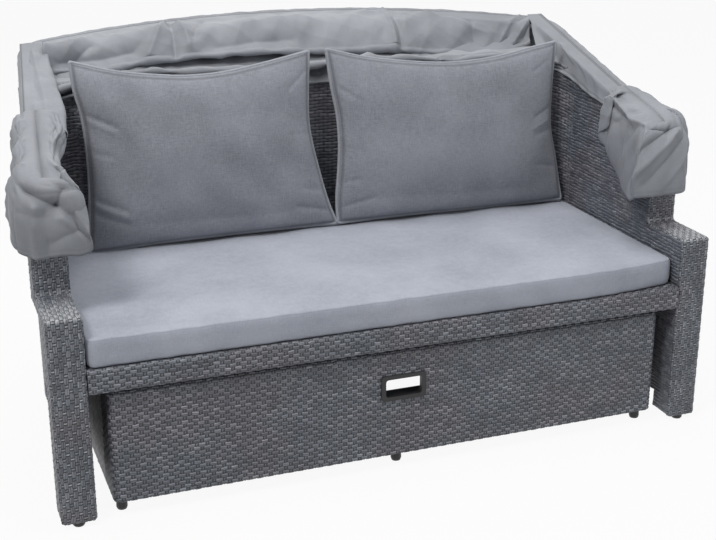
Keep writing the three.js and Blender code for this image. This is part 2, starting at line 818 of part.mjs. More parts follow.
// How far from the pivot a crossbar lies at a place across the part, for a hoop that is drawn in by an inset.
const crossbarAlong = (x, inset) => {
  const radius = hoopArchRadius - inset;
  return hoopReach - hoopArchRadius + Math.sqrt(radius ** 2 - x ** 2);
};

// Where a hoop's side meets its arch: the folded frame leans, so the left corner lies further in.
function hoopCorner(sign, inset) {
  const x = sign * (hoopHalfWidth - inset) + (sign < 0 ? hoopLeftLean : 0);
  return new THREE.Vector2(x, crossbarAlong(x, inset));
}

// The place across the part of a hoop's straight side at a distance along the slope.
function hoopSideX(sign, inset, along) {
  const corner = hoopCorner(sign, inset);
  return THREE.MathUtils.lerp(sign * (hoopHalfWidth - inset), corner.x, along / corner.y);
}

// The bend between a hoop's side and its arch.
function hoopBend(sign, inset) {
  const corner = hoopCorner(sign, inset);
  const sideEnd = corner.y - hoopCornerRadius;
  const archStart = corner.x - sign * hoopCornerRadius;
  return new THREE.QuadraticBezierCurve(
    new THREE.Vector2(hoopSideX(sign, inset, sideEnd), sideEnd),
    corner,
    new THREE.Vector2(archStart, crossbarAlong(archStart, inset)),
  );
}

// The centre line of a hoop: up one side, round the corner, across the arch and down the other side.
function hoopPath(inset, start) {
  const side = (sign) => [
    [hoopSideX(sign, inset, start), start],
    ...hoopBend(sign, inset)
      .getPoints(7)
      .map((p) => p.toArray()),
  ];
  const left = side(-1);
  const right = side(1);
  const archSteps = 14;
  const arch = Array.from({ length: archSteps - 1 }, (_, i) => {
    const x = THREE.MathUtils.lerp(left.at(-1)[0], right.at(-1)[0], (i + 1) / archSteps);
    return [x, crossbarAlong(x, inset)];
  });
  return [...left, ...arch, ...right.reverse()];
}

// A round solid along a line of points in the hoops' plane.
function tubeOnSlope(path, radius, facets = 12) {
  const square = new THREE.Vector3(0, -Math.sin(hoopAngle), Math.cos(hoopAngle));
  const centres = path.map(([x, along]) => new THREE.Vector3(...onSlope(x, along, 0)));
  const rings = centres.map((centre, k) => {
    const before = centres[Math.max(k - 1, 0)];
    const after = centres[Math.min(k + 1, centres.length - 1)];
    const sideways = after.clone().sub(before).normalize().cross(square);
    return Array.from({ length: facets }, (_, i) => {
      const a = (i / facets) * 2 * Math.PI;
      return centre
        .clone()
        .addScaledVector(square, radius * Math.cos(a))
        .addScaledVector(sideways, -radius * Math.sin(a))
        .toArray();
    });
  });
  return capSkin(rings);
}

// Hoops: three bent tubes, one inside the other, drilled for one pivot bolt a side
function makeHoops() {
  const tail = pivotBoltRadius + boltHoleClearance + hoopTailWall;
  ["front", "mid", "rear"].forEach((name, i) => {
    const inset = i * hoopSpacing;
    const outside = tubeOnSlope(hoopPath(inset, -tail), hoopTubeRadius);
    const inside = tubeOnSlope(hoopPath(inset, -tail - cutOverrun), hoopTubeRadius - hoopTubeWall);
    const bolt = rodAlongX(
      pivotBoltRadius + boltHoleClearance,
      -halfWidth - cutOverrun,
      halfWidth + cutOverrun,
      hoopPivotFromFront,
      hoopPivotHeight,
    );
    addPiece(`hoop_${name}`, cut(outside, inside, bolt), frameMetal);
  });
  const pocketBore = hoopTubeRadius + touchGap;
  const sleeve = tubeOnSlope(hoopPath(0, pocketStart), pocketBore + pocketWall);
  const bore = tubeOnSlope(hoopPath(0, pocketStart - cutOverrun), pocketBore);
  addPiece("canopy_pocket", cut(sleeve, bore), canopyFabric);
}

// Brackets: a U of plate on each wing's sloping top, with the bolt that the hoops turn on
function makeBracket({ name, sign }) {
  const base = new THREE.Group();
  base.position.set(sign * armCentre, hoopPivotFromFront, hoopPivotHeight);
  const wingAngle = Math.atan(wingSlope);
  base.rotation.x = wingAngle;
  sofa.add(base);
  const wingBelow = (hoopPivotHeight - wingTopAt(hoopPivotFromFront)) * Math.cos(wingAngle);
  const seat = -wingBelow + touchGap;
  const half = bracketWidth / 2;
  const outline = new THREE.Shape([
    new THREE.Vector2(-half, seat),
    new THREE.Vector2(half, seat),
    new THREE.Vector2(half, bracketCheekAbovePivot),
    new THREE.Vector2(half - bracketPlate, bracketCheekAbovePivot),
    new THREE.Vector2(half - bracketPlate, seat + bracketPlate),
    new THREE.Vector2(-half + bracketPlate, seat + bracketPlate),
    new THREE.Vector2(-half + bracketPlate, bracketCheekAbovePivot),
    new THREE.Vector2(-half, bracketCheekAbovePivot),
  ]);
  const plate = new THREE.ExtrudeGeometry(outline, { depth: bracketLength, bevelEnabled: false })
    .rotateX(Math.PI / 2)
    .translate(0, bracketLength / 2, 0);
  const hole = rodAlongX(pivotBoltRadius + boltHoleClearance, -half - cutOverrun, half + cutOverrun, 0, 0);
  addPiece(`hoop_bracket_${name}`, cut(plate, hole), frameMetal, base);
  const headFrom = -half - touchGap - pivotHeadHeight;
  const boltParts = [
    rodAlongX(pivotHeadRadius, headFrom, headFrom + pivotHeadHeight, 0, 0, 6),
    rodAlongX(pivotBoltRadius, headFrom + pivotHeadHeight / 2, half + touchGap + pivotNutHeight, 0, 0),
    rodAlongX(pivotHeadRadius, half + touchGap, half + touchGap + pivotNutHeight, 0, 0, 6),
  ];
  const bolt = boltParts.map(toSolid).reduce((a, b) => a.add(b));
  addPiece(`hoop_pivot_bolt_${name}`, toGeometry(bolt), boltMetal, base);
}

// Stations along one wing and its corner: an outer line on the front hoop, an inner line on the woven faces.
function wingStations(sign) {
  const half = innerHalf - touchGap * 2;
  const reach = innerCornerRadius;
  const wingSteps = 9;
  const cornerSteps = 6;
  const frontY = hoopPivotFromFront + drapeStart * Math.cos(hoopAngle);
  const wingEndY = backFront - touchGap * 2 - reach;
  const wingEndAlong = (wingEndY - hoopPivotFromFront) / Math.cos(hoopAngle);
  const bend = hoopBend(sign, 0);
  const inside = (x, y) => {
    const alongHoop = (y - hoopPivotFromFront) / Math.cos(hoopAngle);
    const rearHoop = Math.abs(hoopSideX(sign, 2 * hoopSpacing, alongHoop));
    return [sign * Math.min(x, rearHoop - hoopTubeRadius - touchGap * 4), y];
  };
  const stations = [];
  for (let i = 0; i < wingSteps; i += 1) {
    const t = i / wingSteps;
    const along = THREE.MathUtils.lerp(drapeStart, wingEndAlong, t);
    stations.push({
      outer: [hoopSideX(sign, 0, along), along],
      inner: inside(half, THREE.MathUtils.lerp(frontY, wingEndY, t)),
    });
  }
  for (let i = 0; i < cornerSteps; i += 1) {
    const t = i / cornerSteps;
    const turn = (t * Math.PI) / 2;
    const along = THREE.MathUtils.lerp(wingEndAlong, bend.v0.y, Math.min(1, t * 2));
    stations.push({
      outer: t < 0.5 ? [hoopSideX(sign, 0, along), along] : bend.getPoint(t * 2 - 1).toArray(),
      inner: inside(half - reach + reach * Math.cos(turn), wingEndY + reach * Math.sin(turn)),
    });
  }
  return stations;
}

// Stations along the whole folded canopy, from the left wing round the back to the right wing.
function drapeStations() {
  const backSteps = 30;
  const backReach = innerHalf - touchGap * 2 - innerCornerRadius;
  const back = Array.from({ length: backSteps + 1 }, (_, i) => {
    const t = i / backSteps;
    const outerX = THREE.MathUtils.lerp(hoopBend(-1, 0).v2.x, hoopBend(1, 0).v2.x, t);
    return {
      outer: [outerX, crossbarAlong(outerX, 0)],
      inner: [THREE.MathUtils.lerp(-backReach, backReach, t), backFront - touchGap * 2],
    };
  });
  return [...wingStations(-1), ...back, ...wingStations(1).reverse()];
}

// The folded cloth lies over the hoops from the front hoop inwards and hangs down inside the wings and back.
function makeFrontGore() {
  const stations = drapeStations();
  const bottom = hoopTubeRadius + pocketWall + touchGap * 2;
  const thick = clothThickness;
  const rings = stations.map(({ outer, inner }, i) => {
    const phase = (i / (stations.length - 1)) * drapeFoldCount * 2 * Math.PI;
    const [ox, oy, oz] = onSlope(outer[0], outer[1], bottom);
    const slopeZ = hoopPivotHeight + (inner[1] - hoopPivotFromFront) * Math.tan(hoopAngle) + bottom;
    const swell = drapeFoldHeight * (0.5 + 0.5 * Math.sin(phase + Math.sin(phase / 2)));
    const sway = drapeFoldDepth * Math.sin(phase * 1.5);
    const low = slopeZ - drapeHang - drapeHemWave * Math.sin(phase * 0.7);
    const dx = ox - inner[0];
    const dy = oy - inner[1];
    const span = Math.hypot(dx, dy);
    const at = (out, z) => [inner[0] + (dx / span) * out, inner[1] + (dy / span) * out, z];
    const lip = -Math.abs(sway) - thick;
    const rise = (share) => THREE.MathUtils.lerp(slopeZ, oz, share);
    return [
      at(0, slopeZ),
      at(0, low),
      at(lip, low),
      at(lip - thick / 2, (low + slopeZ) / 2),
      at(lip, slopeZ + drapeLift / 2),
      at(thick, slopeZ + drapeLift),
      at(span / 3, rise(1 / 3) + thick + swell),
      at((span * 2) / 3, rise(2 / 3) + thick + swell / 2),
      at(span, oz + thick),
      at(span, oz),
    ];
  });
  addPiece("canopy_gore_front", capSkin(rings), canopyFabric);
}

// The second gore hangs folded in a curtain under the middle hoop, behind the back.
function makeMidGore() {
  const steps = 36;
  const rings = [];
  for (let i = 0; i <= steps; i += 1) {
    const x = THREE.MathUtils.lerp(hoopLeftLean / 2 - curtainHalf, curtainHalf, i / steps);
    const phase = (i / steps) * curtainFoldCount * 2 * Math.PI;
    const along = crossbarAlong(x, hoopSpacing);
    const wave = curtainWave * Math.sin(phase);
    const drop = curtainDrop * (1 - 0.12 * Math.cos(phase * 0.5));
    const top = -hoopTubeRadius - touchGap * 2;
    const [, y0, z0] = onSlope(x, along - curtainWidth / 2, top);
    const [, y1, z1] = onSlope(x, along + curtainWidth / 2, top);
    rings.push([
      [x, y0, z0],
      [x, y0 + wave, z0 - drop / 2],
      [x, y0 + wave, z0 - drop],
      [x, y1 + wave, z0 - drop],
      [x, y1 + wave, z0 - drop / 2],
      [x, y1, z1],
    ]);
  }
  addPiece("canopy_gore_mid", capSkin(rings), canopyFabric);
}

// The rear gore sags between the rear hoop and the top edge of the back's rear face.
function makeRearGore() {
  const steps = 28;
  const rings = [];
  for (let i = 0; i <= steps; i += 1) {
    const x = THREE.MathUtils.lerp(hoopLeftLean / 2 - tailHalf, tailHalf, i / steps);
    const phase = (i / steps) * curtainFoldCount * 2 * Math.PI;
    const along = crossbarAlong(x, 2 * hoopSpacing);
    const [, hoopY, hoopZ] = onSlope(x, along, -hoopTubeRadius - touchGap * 2);
    const nearY = sofaDepth + touchGap;
    const nearZ = backHeight - tailBelowTop;
    const sag = tailSag + tailWave * Math.sin(phase);
    const shares = [0, 0.25, 0.5, 0.75, 1];
    const upper = shares.map((t) => {
      const drop = sag * 4 * t * (1 - t);
      return [x, THREE.MathUtils.lerp(nearY, hoopY, t), THREE.MathUtils.lerp(nearZ, hoopZ, t) - drop];
    });
    const lower = upper.map(([, y, z]) => [x, y, z - clothThickness * 1.5]).reverse();
    rings.push([...upper, ...lower]);
  }
  addPiece("canopy_gore_rear", capSkin(rings), canopyFabric);
}

// A pouch of cloth hangs round the front of each wing and hides the hoops' pivots.
function makeBag({ name, sign }) {
  const halfX = bracketWidth / 2 + bagClearance;
  const front = wingStepFromFront - touchGap * 2 - bagWall;
  const rear = front + bagLength;
  const corner = halfX * 0.7;
  const hem = hoopPivotHeight + bagAbovePivot - bagHeight;
  const outline = [];
  const steps = { side: 5, bend: 5, front: 4 };
  for (let i = 0; i < steps.side; i += 1)
    outline.push([halfX, THREE.MathUtils.lerp(rear, front + corner, i / steps.side), 0]);
  for (let i = 0; i <= steps.bend; i += 1) {
    const a = (i / steps.bend) * (Math.PI / 2);
    outline.push([halfX - corner + corner * Math.cos(a), front + corner - corner * Math.sin(a), a]);
  }
  for (let i = 1; i < steps.front; i += 1) {
    const x = THREE.MathUtils.lerp(halfX - corner, -halfX + corner, i / steps.front);
    outline.push([x, front, Math.PI / 2]);
  }
  const mirrored = outline.slice(0, steps.side + steps.bend + 1).reverse();
  for (const [x, y, a] of mirrored) outline.push([-x, y, Math.PI - a]);
  const levelShares = [0, 0.07, 0.3, 0.55, 0.8, 1];
  const wall = (level, inward) =>
    outline.map(([x, y, a], i) => {
      const turn = (i / (outline.length - 1)) * bagFoldCount * 2 * Math.PI;
      const fold = bagFoldDepth * Math.sin(turn + level * 2);
      const around = 0.55 + 0.45 * Math.abs(Math.cos(a));
      const belly = bagBelly * Math.sin(Math.PI * (0.18 + level * 0.74)) * around;
      const out = inward ? 0 : bagWall + Math.max(0, belly + fold - bagFoldDepth);
      const rise = (y - front) * Math.tan(hoopAngle) * level;
      return [
        sign * armCentre + sign * (x + out * Math.cos(a)),
        y - out * Math.sin(a),
        hem + bagHeight * level + rise,
      ];
    });
  const rings = levelShares.map((level) => [...wall(level, false), ...wall(level, true).reverse()]);
  addPiece(`canopy_bag_${name}`, capSkin(rings), canopyFabric);
}

// The vector square to a ring of points, as long as twice the area inside it.
function areaVector(ring) {
  const points = ring.map((p) => new THREE.Vector3(...p));
  const total = new THREE.Vector3();
  points.forEach((p, i) => {
    const next = points[(i + 1) % points.length];
    total.add(p.clone().sub(points[0]).cross(next.clone().sub(points[0])));
  });
  return total;
}

// A closed skin over open-ended section rings: the ends are capped flat by a fan from their first point.
function capSkin(sections) {
  const along = sections[1][0].map((v, k) => v - sections[0][0][k]);
  const facing = areaVector(sections[0]).dot(new THREE.Vector3(...along));
  const rings = facing > 0 ? sections : sections.map((ring) => [...ring].reverse());
  const count = rings[0].length;
  const points = rings.flat();
  const index = [];
  for (let k = 0; k + 1 < rings.length; k += 1)
    for (let i = 0; i < count; i += 1) {
      const j = (i + 1) % count;
      const a = k * count;
      const b = a + count;
      index.push(a + i, a + j, b + j, a + i, b + j, b + i);
    }
  const cap = (start, flip) => {
    const contour = rings[start / count].map((p) => new THREE.Vector3(...p));
    const normal = areaVector(rings[start / count]).normalize();
    const steep = Math.abs(normal.z) > Math.abs(normal.x);
    const helper = steep ? new THREE.Vector3(1, 0, 0) : new THREE.Vector3(0, 0, 1);
    const across = helper.cross(normal).normalize();
    const upward = normal.clone().cross(across);
    const flat = contour.map((p) => new THREE.Vector2(p.dot(across), p.dot(upward)));
    for (const [a, b, c] of THREE.ShapeUtils.triangulateShape(flat, []))
      index.push(...(flip ? [start + a, start + b, start + c] : [start + a, start + c, start + b]));
  };
  cap(0, false);
  cap((rings.length - 1) * count, true);
  const geometry = new THREE.BufferGeometry();
  geometry.setAttribute("position", new THREE.Float32BufferAttribute(points.flat(), 3));
  geometry.setIndex(index);
  geometry.computeVertexNormals();
  return geometry;
}

makeBack();
makeSeat();
makeSofaGlides();
makeFootstool();
makeSeatCushion();
makePillow("pillow_left", -innerHalf + pillowOuterGapLeft + pillowWidth / 2, pillowLeftTopTaper, 0);
makePillow("pillow_right", innerHalf - pillowOuterGapRight - pillowWidth / 2, 0, pillowRightTopShift);
makeHoops();
for (const side of sides) {
  makeArm(side);
  makeBracket(side);
  makeBag(side);
}
makeFrontGore();
makeMidGore();
makeRearGore();

export default part;
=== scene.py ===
"""Looks of the outdoor daybed: woven skins, cushions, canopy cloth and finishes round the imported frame.

Shapes are numpy surfaces on grids. FRONT is the row-frame y of the arms' front plane. Most places below are
given as distances behind that plane, in metres, as they were read from the photograph.
"""
import math

import bpy
import numpy as np
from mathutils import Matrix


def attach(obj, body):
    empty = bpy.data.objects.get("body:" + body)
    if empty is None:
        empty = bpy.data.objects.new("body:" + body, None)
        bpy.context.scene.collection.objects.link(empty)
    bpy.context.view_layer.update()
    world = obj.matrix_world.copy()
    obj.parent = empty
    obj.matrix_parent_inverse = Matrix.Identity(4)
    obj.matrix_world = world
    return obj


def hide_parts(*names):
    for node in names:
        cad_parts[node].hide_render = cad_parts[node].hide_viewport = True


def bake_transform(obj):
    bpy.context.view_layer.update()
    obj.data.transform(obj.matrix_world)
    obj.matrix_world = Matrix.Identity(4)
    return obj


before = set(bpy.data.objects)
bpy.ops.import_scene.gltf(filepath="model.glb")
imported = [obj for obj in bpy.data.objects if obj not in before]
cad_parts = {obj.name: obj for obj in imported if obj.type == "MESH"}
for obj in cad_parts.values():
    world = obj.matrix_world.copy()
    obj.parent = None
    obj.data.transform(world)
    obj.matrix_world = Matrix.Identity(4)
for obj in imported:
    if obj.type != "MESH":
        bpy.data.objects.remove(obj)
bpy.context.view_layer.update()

TAU = 2 * math.pi

# Arms and back
FRONT = -0.462
HALF = 0.75  # half the width over the arms
ARM = 0.073  # width of an arm's front column
INNER = HALF - ARM  # inner side of an arm
PANEL = INNER + 0.018  # outer side of an arm's thin panel
DEPTH = 0.661
BACK_FRONT = 0.630
BACK_TOP = 0.780
ARM_TOP = 0.457
BEAM_LOW = 0.425  # underside of the beam under the arm top
STEP = 0.145  # front of the wing, where the arm top ends
WING_REAR = 0.218  # where the wing's thick front ends
WING_LOW = 0.646  # top of the wing at its front
WING_LEVEL = 0.640  # where the wing's top reaches the back's height
WING_SLOPE = (BACK_TOP - WING_LOW) / (WING_LEVEL - STEP)
FOOT = 0.012  # underside of the columns
PANEL_LOW = 0.055  # underside of the panels and the back
POST_WIDTH = 0.030
POST_FRONT = 0.6306
EDGE = 0.009  # radius of the woven edges
FLAT_INSET = 0.0065  # a flat side starts here, just under the rolled edge
CORNER = 0.110  # radius between the back and a wing
CORNER_LOW = 0.342  # where that corner starts, at the seat's top
HAIR = 0.0003  # keeps two faces that would lie in one plane apart

# Weave
STAKE = 0.0113  # from stake to stake
ROW = 0.0082  # width of a strand
LIFT = 0.0030  # height of the relief
SINK = 0.001  # how far the relief is set back into the skin's face

# Hoops, in the plane that slopes up from the pivots
PIVOT_Y = 0.190
PIVOT_Z = 0.674
HOOP_TILT = math.atan(WING_SLOPE) + math.radians(0.25)  # a little steeper than the wing's top
HOOP_HALF = 0.7355  # half the front hoop's width at its ends
HOOP_START = 0.12  # cloth starts here, measured from the pivot
HOOP_STEP = 0.022  # from one hoop to the next inside it
HOOP_LEAN = 0.072  # the left corner lies this much further in
HOOP_LINE = 0.920  # how far the front hoop reaches behind FRONT
HOOP_ARCH = 1.900  # radius of the slightly bowed rear stretch
HOOP_BEND = 0.055  # how far each bend reaches from its corner


# Mesh helpers
def smoothstep(a, b, x):
    """0 before a, 1 after b, and 3t^2 - 2t^3 between."""
    t = np.clip((np.asarray(x, float) - a) / (b - a), 0, 1)
    return t * t * (3 - 2 * t)


def mesh_object(name, verts, faces, material, uv=None, smooth=True, **attributes):
    """An object at the origin from a vertex array and a four-column face array, without unused points."""
    used = np.unique(faces)
    lookup = np.full(len(verts), -1)
    lookup[used] = np.arange(len(used))
    faces = lookup[faces]
    mesh = bpy.data.meshes.new(name)
    mesh.vertices.add(len(used))
    mesh.vertices.foreach_set("co", np.ascontiguousarray(verts[used], np.float32).ravel())
    mesh.loops.add(faces.size)
    mesh.loops.foreach_set("vertex_index", faces.ravel().astype(np.int32))
    mesh.polygons.add(len(faces))
    mesh.polygons.foreach_set("loop_start", (np.arange(len(faces)) * faces.shape[1]).astype(np.int32))
    mesh.polygons.foreach_set("use_smooth", np.full(len(faces), smooth))
    if uv is not None:
        layer = mesh.uv_layers.new(name="UVMap")
        layer.data.foreach_set("uv", uv[used][faces.ravel()].astype(np.float32).ravel())
    for key, values in attributes.items():
        layer = mesh.attributes.new(key, "FLOAT", "POINT")
        layer.data.foreach_set("value", values[used].astype(np.float32))
    mesh.update(calc_edges=True)
    mesh.validate()
    mesh.materials.append(material)
    piece = bpy.data.objects.new(name, mesh)
    bpy.context.scene.collection.objects.link(piece)
    return piece


def grid_faces(rows, columns, wrap_rows=False, wrap_columns=False, flip=False):
    """Quads between neighbours of a rows by columns grid of points, closed round where asked."""
    r = np.arange(rows if wrap_rows else rows - 1)
    c = np.arange(columns if wrap_columns else columns - 1)
    rr, cc = np.meshgrid(r, c, indexing="ij")
    r2, c2 = (rr + 1) % rows, (cc + 1) % columns
    quads = np.stack([rr * columns + cc, rr * columns + c2, r2 * columns + c2, r2 * columns + cc], -1)
    quads = quads.reshape(-1, 4)
    return quads[:, ::-1] if flip else quads


def surface(name, points, material, uv=None, wrap=(False, False), flip=False, keep=None, **attributes):
    """A piece from a grid of points: rows first, then columns."""
    rows, columns = points.shape[:2]
    faces = grid_faces(rows, columns, *wrap, flip)
    if keep is not None:
        faces = faces[keep.reshape(-1)]
    flat = {k: v.reshape(-1) for k, v in attributes.items()}
    uv = None if uv is None else uv.reshape(-1, 2)
    return mesh_object(name, points.reshape(-1, 3), faces, material, uv, **flat)


def joined(name, pieces):
    """One object from several that share a material."""
    bpy.ops.object.select_all(action="DESELECT")
    for piece in pieces:
        piece.select_set(True)
    bpy.context.view_layer.objects.active = pieces[0]
    bpy.ops.object.join()
    pieces[0].name = name
    pieces[0].data.name = name
    return pieces[0]


def rounded_line(corners, closed=True):
    """A dense line through corners (a, b, radius), each turned into an arc of that radius."""
    arc_steps = 10
    pts = np.array([c[:2] for c in corners], float)
    out = []
    n = len(pts)
    for i, (_, _, radius) in enumerate(corners):
        here = pts[i]
        if radius == 0 or (not closed and i in (0, n - 1)):
            out.append(here[None])
            continue
        back = pts[i - 1] - here
        ahead = pts[(i + 1) % n] - here
        back, ahead = back / np.linalg.norm(back), ahead / np.linalg.norm(ahead)
        half = math.acos(np.clip(back @ ahead, -1, 1)) / 2
        along = radius / math.tan(half)
        bisector = (back + ahead) / np.linalg.norm(back + ahead)
        centre = here + bisector * radius / math.sin(half)
        a0 = math.atan2(*(here + back * along - centre)[::-1])
        a1 = math.atan2(*(here + ahead * along - centre)[::-1])
        turn = (a1 - a0 + math.pi) % TAU - math.pi
        angles = a0 + turn * np.linspace(0, 1, arc_steps)
        out.append(centre + radius * np.stack([np.cos(angles), np.sin(angles)], -1))
    line = np.concatenate(out)
    return np.concatenate([line, line[:1]]) if closed else line


def along_line(line, lengths):
    """Points and left-hand normals of a dense line at given lengths from its start."""
    step = np.linalg.norm(np.diff(line, axis=0), axis=1)
    total = np.concatenate([[0], np.cumsum(step)])
    keep = np.concatenate([[True], step > 1e-9])
    line, total = line[keep], total[keep]
    points = np.stack([np.interp(lengths, total, line[:, k]) for k in (0, 1)], -1)
    reach = 0.0015
    ahead = np.stack([np.interp(lengths + reach, total, line[:, k]) for k in (0, 1)], -1)
    behind = np.stack([np.interp(lengths - reach, total, line[:, k]) for k in (0, 1)], -1)
    tangent = ahead - behind
    tangent /= np.linalg.norm(tangent, axis=1, keepdims=True) + 1e-12
    return points, np.stack([-tangent[:, 1], tangent[:, 0]], -1)


def line_length(line):
    """The sum of a dense line's steps."""
    return float(np.linalg.norm(np.diff(line, axis=0), axis=1).sum())


def spline_at(line, shares):
    """Points of a dense line at shares of its length."""
    step = np.linalg.norm(np.diff(line, axis=0), axis=1)
    total = np.concatenate([[0], np.cumsum(step)])
    return np.stack([np.interp(shares * total[-1], total, line[:, k]) for k in range(line.shape[1])], -1)


# Materials
class Wire:
    """A shader socket that takes arithmetic: each operator adds one Math node."""

    def __init__(self, paint, socket):
        self.paint, self.socket = paint, socket

    def _math(self, operation, first, second):
        return self.paint.node("ShaderNodeMath", dict(operation=operation), first, second)

    def __add__(self, other):
        return self._math("ADD", self, other)

    __radd__ = __add__

    def __sub__(self, other):
        return self._math("SUBTRACT", self, other)

    def __rsub__(self, other):
        return self._math("SUBTRACT", other, self)

    def __mul__(self, other):
        return self._math("MULTIPLY", self, other)

    __rmul__ = __mul__

    def step(self, low, high):
        """Smoothly from 0 at low to 1 at high."""
        settings = dict(interpolation_type="SMOOTHSTEP")
        return self.paint.node("ShaderNodeMapRange", settings, self, low, high, 0.0, 1.0)


class Paint:
    def __init__(self, name):
        self.material = bpy.data.materials.new(name)
        self.material.use_nodes = True
        self.tree = self.material.node_tree
        self.shader = self.tree.nodes["Principled BSDF"]
        coordinates = self.tree.nodes.new("ShaderNodeTexCoord")
        self.object = Wire(self, coordinates.outputs["Object"])
        self.uv = Wire(self, coordinates.outputs["UV"])

    def node(self, kind, settings, *values, out=0, **named):
        """A node of a type, its settings first, then its sockets by order or by name."""
        made = self.tree.nodes.new(kind)
        for key, value in settings.items():
            if key == "stops":
                ramp = made.color_ramp
                while len(ramp.elements) < len(value):
                    ramp.elements.new(0.5)
                for element, (place, colour) in zip(ramp.elements, value):
                    element.position = place
                    element.color = (*colour, 1)
            else:
                setattr(made, key, value)
        sockets = [s for s in made.inputs if s.enabled]
        for socket, value in list(zip(sockets, values)) + [(made.inputs[k], v) for k, v in named.items()]:
            self.put(socket, value)
        outputs = [s for s in made.outputs if s.enabled]
        return Wire(self, outputs[out] if isinstance(out, int) else made.outputs[out])

    def put(self, socket, value):
        if value is None:
            return
        if isinstance(value, Wire):
            self.tree.links.new(value.socket, socket)
        elif hasattr(value, "__len__") and len(value) == 3 and socket.type == "RGBA":
            socket.default_value = (*value, 1)
        else:
            socket.default_value = value

    def place(self, source, scale):
        """Coordinates scaled by a number or three numbers."""
        scale = (scale,) * 3 if isinstance(scale, (int, float)) else scale
        return self.node("ShaderNodeMapping", dict(vector_type="POINT"), source, None, None, scale)

    def noise(self, source, scale, detail=2.0, roughness=0.5):
        """Noise from 0 to 1 whose cells are about 1 / scale metres."""
        return self.node("ShaderNodeTexNoise", dict(noise_dimensions="3D"), source, scale, detail, roughness)

    def attribute(self, name):
        return self.node("ShaderNodeAttribute", dict(attribute_name=name), out="Fac")

    def ramp(self, value, *stops):
        return self.node("ShaderNodeValToRGB", dict(stops=stops), value)

    def mix(self, share, first, second, blend="MIX"):
        """A blend of two colours by a share."""
        made = self.tree.nodes.new("ShaderNodeMix")
        made.data_type = "RGBA"
        made.blend_type = blend
        self.put(made.inputs[0], share)
        self.put(made.inputs[6], first)
        self.put(made.inputs[7], second)
        return Wire(self, made.outputs[2])

    def bump(self, height, distance, strength):
        return self.node("ShaderNodeBump", {}, Strength=strength, Distance=distance, Height=height)

    def finish(self, colour, roughness, normal=None, **fixed):
        """Sets the shader: colour, roughness and normal may vary, and the rest are plain numbers."""
        self.put(self.shader.inputs["Base Color"], colour)
        self.put(self.shader.inputs["Roughness"], roughness)
        self.put(self.shader.inputs["Normal"], normal)
        for key, value in fixed.items():
            self.put(self.shader.inputs[key.replace("_", " ")], value)
        return self.material


def wicker_material():
    """Flat synthetic strands in mixed greys: tone by strand and fine ribs along it, with painted shade where
    strands dive and at their edges, and a painted highlight along the arm tops' front edges.
    """
    p = Paint("wicker_strands")
    tone = p.attribute("tone")
    pit = p.attribute("pit")
    worn = p.attribute("worn")
    patches = p.noise(p.object, 7.0, 2.0)
    mottle = p.noise(p.place(p.uv, (40.0, 420.0, 1.0)), 1.0, 2.0)
    colour = p.ramp(
        tone * 0.85 + mottle * 0.95 - 0.46,
        (0.0, (0.042, 0.047, 0.058)),
        (0.3, (0.088, 0.098, 0.117)),
        (0.6, (0.172, 0.186, 0.215)),
        (0.8, (0.280, 0.296, 0.332)),
        (1.0, (0.47, 0.49, 0.53)),
    )
    brown = p.mix(patches.step(0.42, 0.62) * 0.5, colour, p.mix(1.0, colour, (1.12, 0.93, 0.90), "MULTIPLY"))
    # painted highlight: paler grey where worn is set, on the arm tops' rounded front edges
    pale = p.mix(worn * mottle.step(0.2, 0.7), brown, (0.42, 0.43, 0.45))
    # painted shade: nearly black in the pits where strands dive and along the strands' edges
    dark = p.mix(pit.step(0.1, 0.9) * 0.93, pale, (0.010, 0.011, 0.014))
    ribs = p.noise(p.place(p.uv, (10.0, 900.0, 1.0)), 1.0, 1.0)
    return p.finish(dark, mottle * 0.2 + 0.34, p.bump(ribs, 0.0006, 0.7), Specular_IOR_Level=0.5)


def cloth_material(name, light, dark, thread, roughness, heather, sheen=0.15, light_patches=0.25):
    """Plain woven cloth: heathered threads, soft painted patches of light and shade like sun dapples, a fine

    thread bump and painted shade along the stitched seams. thread is the bump's height in metres, and heather
    and light_patches are the shares that threads and the painted patches of light have in the colour.
    """
    p = Paint(name)
    fine = p.noise(p.object, 420.0, 1.0)
    across = p.noise(p.place(p.object, (70.0, 70.0, 480.0)), 1.0, 1.0)
    along = p.noise(p.place(p.object, (480.0, 70.0, 70.0)), 1.0, 1.0)
    threads = (across + along) * 0.5
    # worn: broad noise that paints soft patches of light and shade (sun dapples) into the colour and also
    # varies the roughness
    worn = p.noise(p.object, 4.5, 3.0, 0.6)
    share = (threads - 0.5) * (heather * 2) + (fine - 0.5) * heather + (worn - 0.5) * (light_patches * 2) + 0.5
    cloth = p.mix(share.step(0.0, 1.0), dark, light)
    # painted shade: seams and hems go almost black where seam is set
    colour = p.mix(p.attribute("seam") * 0.85, cloth, tuple(c * 0.16 for c in dark))
    bump = p.bump(threads + fine * 0.5, thread, 0.5)
    return p.finish(colour, worn * 0.08 + roughness, bump, Sheen_Weight=sheen, Sheen_Roughness=0.6)


def plain_material(name, colour, roughness, metallic=0.0, speckle=0.15):
    """Moulded or coated surface: slight tone speckle and a fine surface bump."""
    p = Paint(name)
    fine = p.noise(p.object, 420.0, 2.0)
    broad = p.noise(p.object, 30.0, 2.0)
    shade = p.mix(broad * (speckle * 2), colour, tuple(min(1.0, c * 1.8 + 0.02) for c in colour))
    return p.finish(shade, fine * 0.15 + roughness, p.bump(fine, 0.0002, 0.5), Metallic=metallic)


